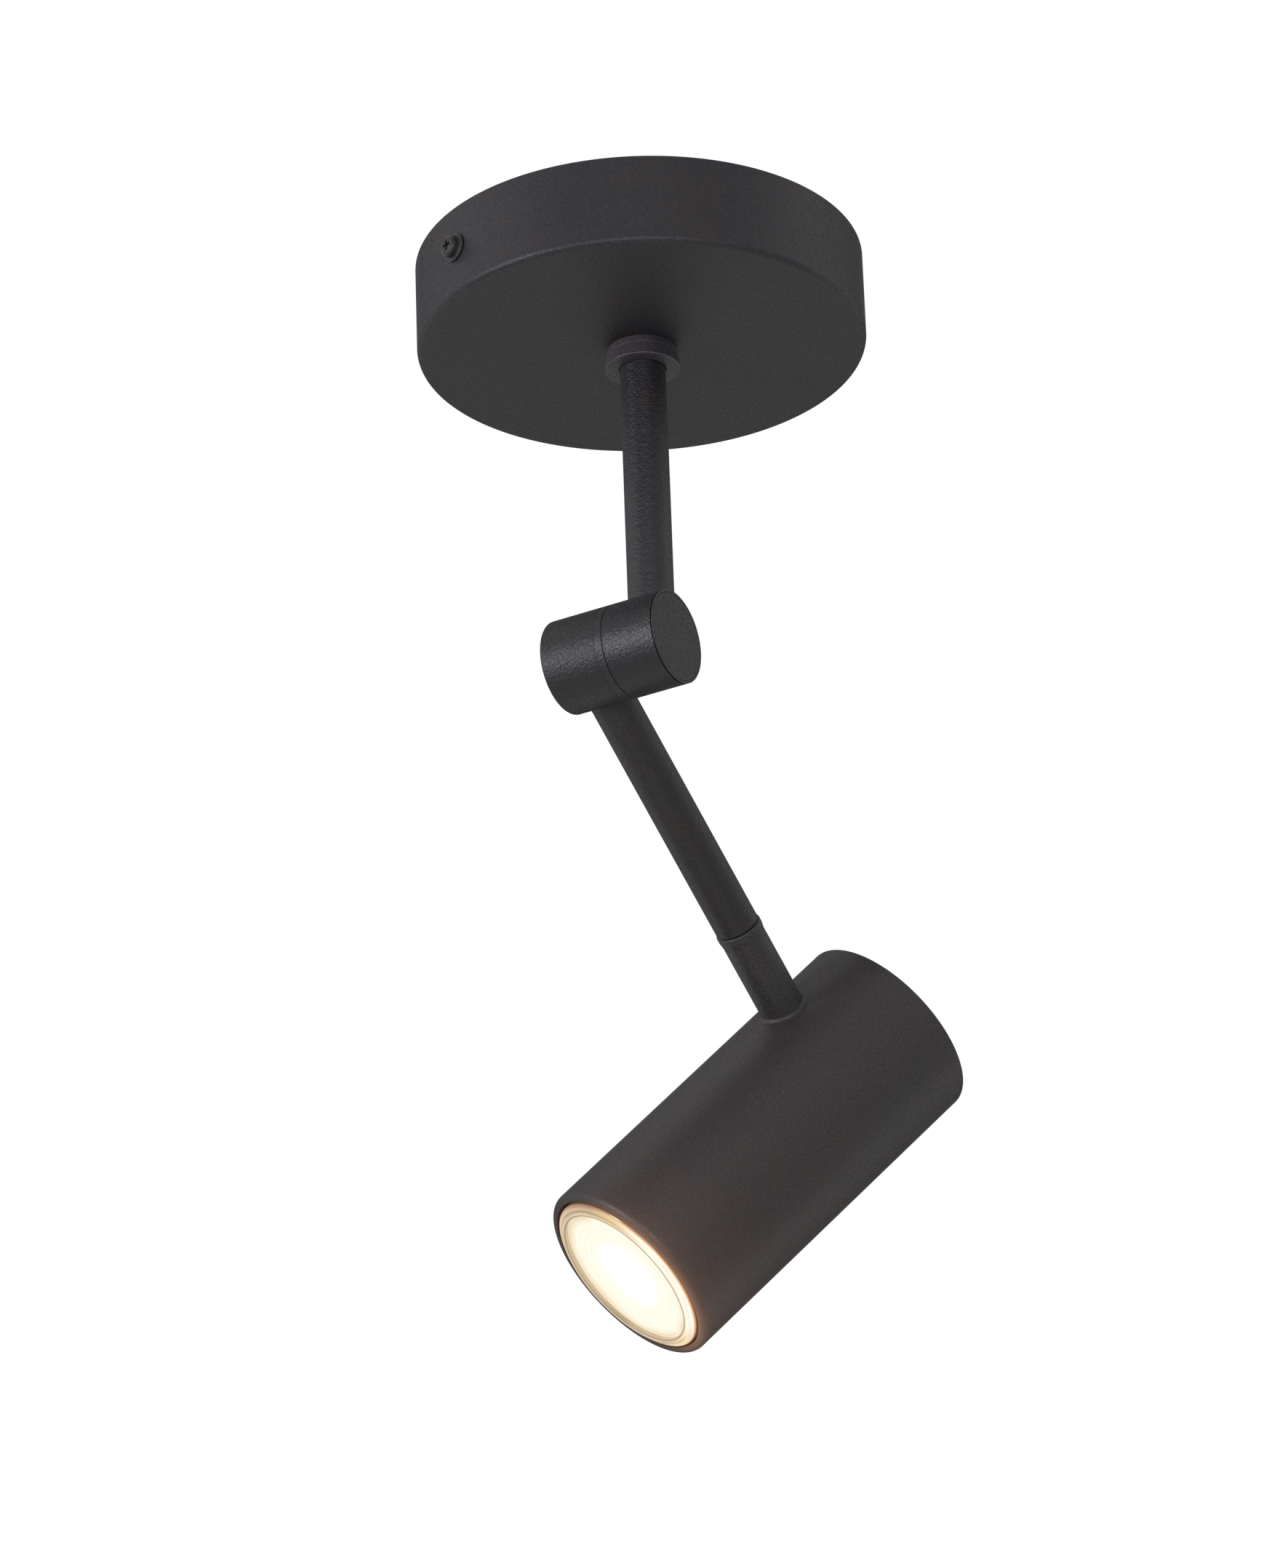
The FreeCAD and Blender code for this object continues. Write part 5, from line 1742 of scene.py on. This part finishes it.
@dataclass
class Lamp:
    """Lit reflector lamp: base, glass with a wide lit rim, and a ribbed front lens."""

    rim: float = 24.4
    rim_front: float = 81.8
    rim_height: float = 4.2
    rim_edge: float = 0.8
    rim_drop: float = 0.5
    rim_width: float = 3.4
    crest: float = 0.7
    crest_width: float = 1.4
    crest_edge: float = 0.5
    mouth_edge: float = 0.25
    glass_wall: float = 1.3
    foot: float = 14.0
    foot_height: float = 51.0
    foot_wall: float = 1.6
    shoulder: float = 20.98
    shoulder_share: float = 0.7
    curve: float = 18.0
    lens: float = 21.0
    lens_setback: float = 0.3
    lens_thickness: float = 1.8
    lens_rings: int = 11
    lens_relief: float = 0.16
    ring_shadow: float = 0.75
    ring_shadow_place: Range = (0.8, 1.0)
    lens_flutes: int = 108
    flute_relief: float = 0.07
    flute_shadow: float = 0.3
    flutes_from: Range = (0.42, 0.5)
    flutes_to: Range = (0.7, 0.78)
    dots_from: Range = (0.86, 0.9)
    dot_share: float = 0.6
    lens_dish: float = 0.5
    radial_steps: int = 132
    side_steps: int = 2
    round_steps: int = 432
    lens_merge: float = 0.001

    def glass(self) -> bpy.types.Object:
        """Make the bowl with its rim.

        Returns:
            The glass.
        """
        rim_foot = self.rim_front - self.rim_height
        shoulder_height = self.foot_height + (rim_foot - self.foot_height) * self.shoulder_share
        seat = self.rim_front - self.lens_setback - self.lens_thickness
        mouth, top = self.rim - self.rim_width, self.rim_front + self.crest
        return turned("lamp_bowl", [
            Corner(self.rim, rim_foot, self.glass_wall),
            Corner(self.rim, self.rim_front - self.rim_drop, self.rim_edge),
            Corner(mouth + self.crest_width, top, self.crest_edge), Corner(mouth, top, self.mouth_edge),
            Corner(mouth, seat), Corner(mouth - self.glass_wall, seat),
            Corner(self.shoulder - self.glass_wall, shoulder_height, self.curve - self.glass_wall),
            Corner(self.foot - self.foot_wall, self.foot_height),
            Corner(self.foot, self.foot_height), Corner(self.shoulder, shoulder_height, self.curve),
        ], SHELL_FRAME, WIDE_SEGMENTS)

    def front_lens(self) -> bpy.types.Object:
        """Grow the lens: steps in rings, fine flutes between them and a shallow dish.

        The sheet's last two rows of faces run down the lens's side and back to its middle.

        Returns:
            The lens.
        """
        grown = GrownPiece("ribbed_lens")
        graph = grown.graph
        radius, thick = grown.length("Radius", self.lens), grown.length("Thickness", self.lens_thickness)
        rings, relief = grown.count("Rings", self.lens_rings), grown.length("Ring relief", self.lens_relief)
        flutes = grown.count("Flutes", self.lens_flutes)
        ripple, dish = grown.length("Flute relief", self.flute_relief), grown.length("Dish", self.lens_dish)
        radial = grown.count("Radial steps", self.radial_steps)
        around = grown.count("Round steps", self.round_steps)
        sheet = graph.make(
            "GeometryNodeMeshGrid", Size_X=1.0, Size_Y=1.0, Vertices_X=radial + (self.side_steps + 1),
            Vertices_Y=around + 1,
        )
        x, y, _ = graph.parts(graph.make("GeometryNodeInputPosition"))
        run = (x + 0.5) * (radial + self.side_steps) / radial
        turn = (y + 0.5) * FULL_TURN
        beyond = (run - 1) * radial
        share = run.math("MINIMUM", 1.0).math("MINIMUM", beyond * -1 + self.side_steps)
        side = beyond.span(0, 1)
        groove = (share * rings).math("FRACT")
        saw = groove.math("POWER", 2.0)
        band = share.span(*self.flutes_from, smooth=True) * share.span(*self.flutes_to, 1, 0, smooth=True)
        wave = (turn * flutes).math("COSINE") * band
        dots = share.span(*self.dots_from, smooth=True) * (turn * flutes * 2).math("COSINE")
        bowl = share.math("POWER", 2.0) * dish - dish
        height = bowl - saw * relief + (wave + dots * self.dot_share) * ripple - relief
        lifted = height * (side * -1 + 1) - side * thick
        spot = graph.make(
            "ShaderNodeCombineXYZ", X=turn.math("COSINE") * share * radius,
            Y=turn.math("SINE") * share * radius, Z=lifted,
        )
        ring_shade = groove.span(*self.ring_shadow_place, 0, self.ring_shadow, smooth=True)
        shade = ring_shade + wave.span(-1, 1, self.flute_shadow, 0) * band
        marked = self.mark(graph, sheet, LENS_SHARE, share)
        marked = self.mark(graph, marked, LENS_SHADOW, shade)
        shaped = graph.make("GeometryNodeSetPosition", Geometry=marked, Position=spot)
        closed = graph.make("GeometryNodeMergeByDistance", Geometry=shaped, Distance=self.lens_merge)
        front = Matrix.Translation((0, 0, self.rim_front - self.lens_setback))
        return grown.grow(closed, LENS, SHELL_FRAME @ front)

    def mark(self, graph: Graph, geometry: Value, name: str, value: Value) -> Value:
        """Store a number on the mesh's points.

        Args:
            graph: the tree.
            geometry: the mesh.
            name: name of the attribute.
            value: what is stored.

        Returns:
            The marked mesh.
        """
        return graph.make("GeometryNodeStoreNamedAttribute", Geometry=geometry, Name=name, Value=value)

    def build(self) -> list[bpy.types.Object]:
        """Make the glass, the lens and the base.

        Returns:
            The pieces.
        """
        return [
            fit(self.glass(), RIM_GLASS, Body.LAMP, "lamp_glass"),
            fit(self.front_lens(), LENS, Body.LAMP, "lamp_lens"),
        ] + kept(Body.LAMP, ("lamp_base", LAMP_WHITE, 0.2))


@dataclass
class HiddenParts:
    """Frame pieces that stay as they are, shut in by the others, with their finishes."""

    arm_zinc: tuple[str, ...] = ("knuckle_spring_washer", "knuckle_stop_pin")
    arm_brass: tuple[str, ...] = ("knuckle_spindle", "knuckle_nut", "arm_end_bush")
    head_zinc: tuple[str, ...] = ("neck_nipple", "neck_nut", "swivel_washer", "holder_screws")
    head_brass: tuple[str, ...] = ("swivel_bolt", "neck_plug", "holder_contacts")
    sheaths: tuple[str, ...] = ("arm_lead", "head_lead")

    def build(self) -> list[bpy.types.Object]:
        """Dress the pieces.

        Returns:
            Nothing to report, as they stay the frame's own.
        """
        groups = (
            (self.arm_zinc + self.head_zinc, ZINC), (self.arm_brass + self.head_brass, BRASS),
            (self.sheaths, SHEATH), (("lamp_live_core",), BROWN), (("lamp_neutral_core",), BLUE),
            (("lamp_pins",), NICKEL), (("led_board",), BOARD), (("led_driver",), DRIVER),
        )
        for names, finish in groups:
            for name in names:
                dress_node(name, finish)
        return []


# Studio


@dataclass(frozen=True)
class SoftLamp:
    """Large soft lamp, placed from the camera's point of view."""

    name: str
    right: float
    up: float
    near: float
    size: float
    watts: float
    colour: Colour = (1.0, 1.0, 1.0)


@dataclass
class Studio:
    """Camera, lamps, world and floor."""

    azimuth: float = -36.36
    elevation: float = -24.404
    roll: float = -2.014
    distance_mm: float = 1792.6
    target_mm: tuple[float, float, float] = (0, 0, -150)
    pan_mm: tuple[float, float] = (-7.044, -2.438)
    lens_mm: float = 158.63
    sensor_mm: float = 36.0
    seen_from: float = 0.05
    seen_to: float = 60.0
    world_light: float = 0.3
    floor_height: float = -2.5
    floor_size: float = 14.0
    floor_colours: tuple[Colour, Colour] = ((0.8, 0.8, 0.79), (0.77, 0.77, 0.77))
    floor_patches: float = 3.0
    floor_roughness: float = 0.9
    lamps: tuple[SoftLamp, ...] = (
        SoftLamp("key_lamp", -1.75, 0.25, 0.85, size=0.42, watts=28.0, colour=(0.9, 0.92, 1.0)),
        SoftLamp("front_lamp", -0.05, 0.58, 1.85, size=0.9, watts=20.0, colour=(0.94, 0.94, 1.0)),
        SoftLamp("fill_lamp", 1.9, 0.9, 0.5, size=1.3, watts=3.0, colour=(1.0, 0.95, 0.9)),
        SoftLamp("low_lamp", 0.3, -1.9, 0.6, size=1.6, watts=5.0, colour=(1.0, 0.93, 0.86)),
    )

    def axes(self) -> tuple[Vector, Vector, Vector]:
        """Turn the camera's angles into directions.

        Returns:
            The camera's right, up and back directions.
        """
        turn, rise, roll = (math.radians(angle) for angle in (self.azimuth, self.elevation, self.roll))
        across, depth = math.sin(turn) * math.cos(rise), -math.cos(turn) * math.cos(rise)
        back = Vector((across, depth, math.sin(rise)))
        right = UP.cross(back).normalized()
        up = back.cross(right)
        tilted = right * math.cos(roll) + up * math.sin(roll)
        return tilted, up * math.cos(roll) - right * math.sin(roll), back

    def build(self) -> None:
        """Set up the camera, lamps, world and floor."""
        right, up, back = self.axes()
        middle = Vector(self.target_mm) * MM
        look = middle + (right * self.pan_mm[0] + up * self.pan_mm[1]) * MM
        self.camera(look + back * (self.distance_mm * MM), right, up, back)
        for lamp in self.lamps:
            self.lamp(lamp, middle, middle + right * lamp.right + up * lamp.up + back * lamp.near)
        self.world()
        self.floor()
        bpy.context.scene.view_settings.view_transform = "Standard"

    def camera(self, spot: Vector, right: Vector, up: Vector, back: Vector) -> None:
        """Put the camera in the photograph's place.

        Args:
            spot: the camera's position.
            right: its right direction.
            up: its up direction.
            back: the direction it looks away from.
        """
        lens = bpy.data.cameras.new("camera")
        lens.sensor_width = self.sensor_mm
        lens.lens = self.lens_mm
        lens.clip_start, lens.clip_end = self.seen_from, self.seen_to
        eye = bpy.data.objects.new("camera", lens)
        eye.matrix_world = Matrix.Translation(spot) @ Matrix((right, up, back)).transposed().to_4x4()
        bpy.context.scene.collection.objects.link(eye)
        bpy.context.scene.camera = eye

    def lamp(self, lamp: SoftLamp, middle: Vector, spot: Vector) -> None:
        """Hang one lamp so that it faces the object.

        Args:
            lamp: its size and strength.
            middle: what it faces.
            spot: where it hangs.
        """
        light = bpy.data.lights.new(lamp.name, "AREA")
        light.shape = "SQUARE"
        light.size = lamp.size
        light.energy = lamp.watts
        light.color = lamp.colour
        holder = bpy.data.objects.new(lamp.name, light)
        aim = (spot - middle).to_track_quat("Z", "Y")
        holder.matrix_world = Matrix.Translation(spot) @ aim.to_matrix().to_4x4()
        holder.visible_camera = False
        bpy.context.scene.collection.objects.link(holder)

    def seen(self, graph: Graph) -> Value:
        """Tell the rays that see the room as plain white.

        Args:
            graph: the tree.

        Returns:
            1 for camera, mirror and see-through rays, 0 for the rest.
        """
        path = graph.add("ShaderNodeLightPath")
        seen = Value(graph, path.outputs["Is Camera Ray"])
        seen = seen.math("MAXIMUM", Value(graph, path.outputs["Is Glossy Ray"]))
        return seen.math("MAXIMUM", Value(graph, path.outputs["Is Transmission Ray"]))

    def world(self) -> None:
        """Plain white surroundings that light the object softly."""
        world = bpy.data.worlds.new("white_room")
        world.use_nodes = True
        graph = Graph(world.node_tree)
        background = world.node_tree.nodes["Background"]
        background.inputs["Color"].default_value = WHITE
        graph.feed(background.inputs["Strength"], self.seen(graph).span(0, 1, self.world_light, 1))
        bpy.context.scene.world = world

    def floor(self) -> None:
        """Pale floor, as far below as a room's."""
        half = self.floor_size / 2
        mesh = bpy.data.meshes.new("floor")
        square = ((-half, -half), (half, -half), (half, half), (-half, half))
        mesh.from_pydata([(x, y, self.floor_height) for x, y in square], [], [(0, 1, 2, 3)])
        floor = bpy.data.objects.new("floor", mesh)
        bpy.context.scene.collection.objects.link(floor)
        made = bpy.data.materials.new("pale_floor")
        made.use_nodes = True
        graph = Graph(made.node_tree)
        shader = made.node_tree.nodes["Principled BSDF"]
        place = graph.make("ShaderNodeTexCoord", output="Object")
        mottle = graph.make("ShaderNodeTexNoise", Vector=place, Scale=self.floor_patches, Detail=3.0)
        first, second = (opaque(colour) for colour in self.floor_colours)
        graph.feed(shader.inputs["Base Color"], graph.mixed(mottle.span(*WIDE), first, second))
        shader.inputs["Roughness"].default_value = self.floor_roughness
        white = graph.make("ShaderNodeEmission", output="Emission", Color=WHITE)
        mix = graph.add("ShaderNodeMixShader")
        graph.feed(mix.inputs[0], self.seen(graph))
        graph.feed(mix.inputs[1], shader.outputs["BSDF"])
        graph.feed(mix.inputs[2], white)
        graph.feed(made.node_tree.nodes["Material Output"].inputs["Surface"], mix.outputs[0])
        mesh.materials.append(made)


def main() -> None:
    """Build every sub-assembly in order and report it."""
    logging.basicConfig(level=logging.INFO, format="%(name)s: %(message)s")
    for assembly in (
        CeilingCup(), Collar(), Stem(), KnuckleBarrel(), Arm(), Neck(), HeadShell(), Lamp(), HiddenParts(),
    ):
        for piece in assembly.build():
            LOG.info("%s: %s, %d faces", type(assembly).__name__, piece.name, len(piece.data.polygons))
    Studio().build()


if __name__ == "__main__":
    main()
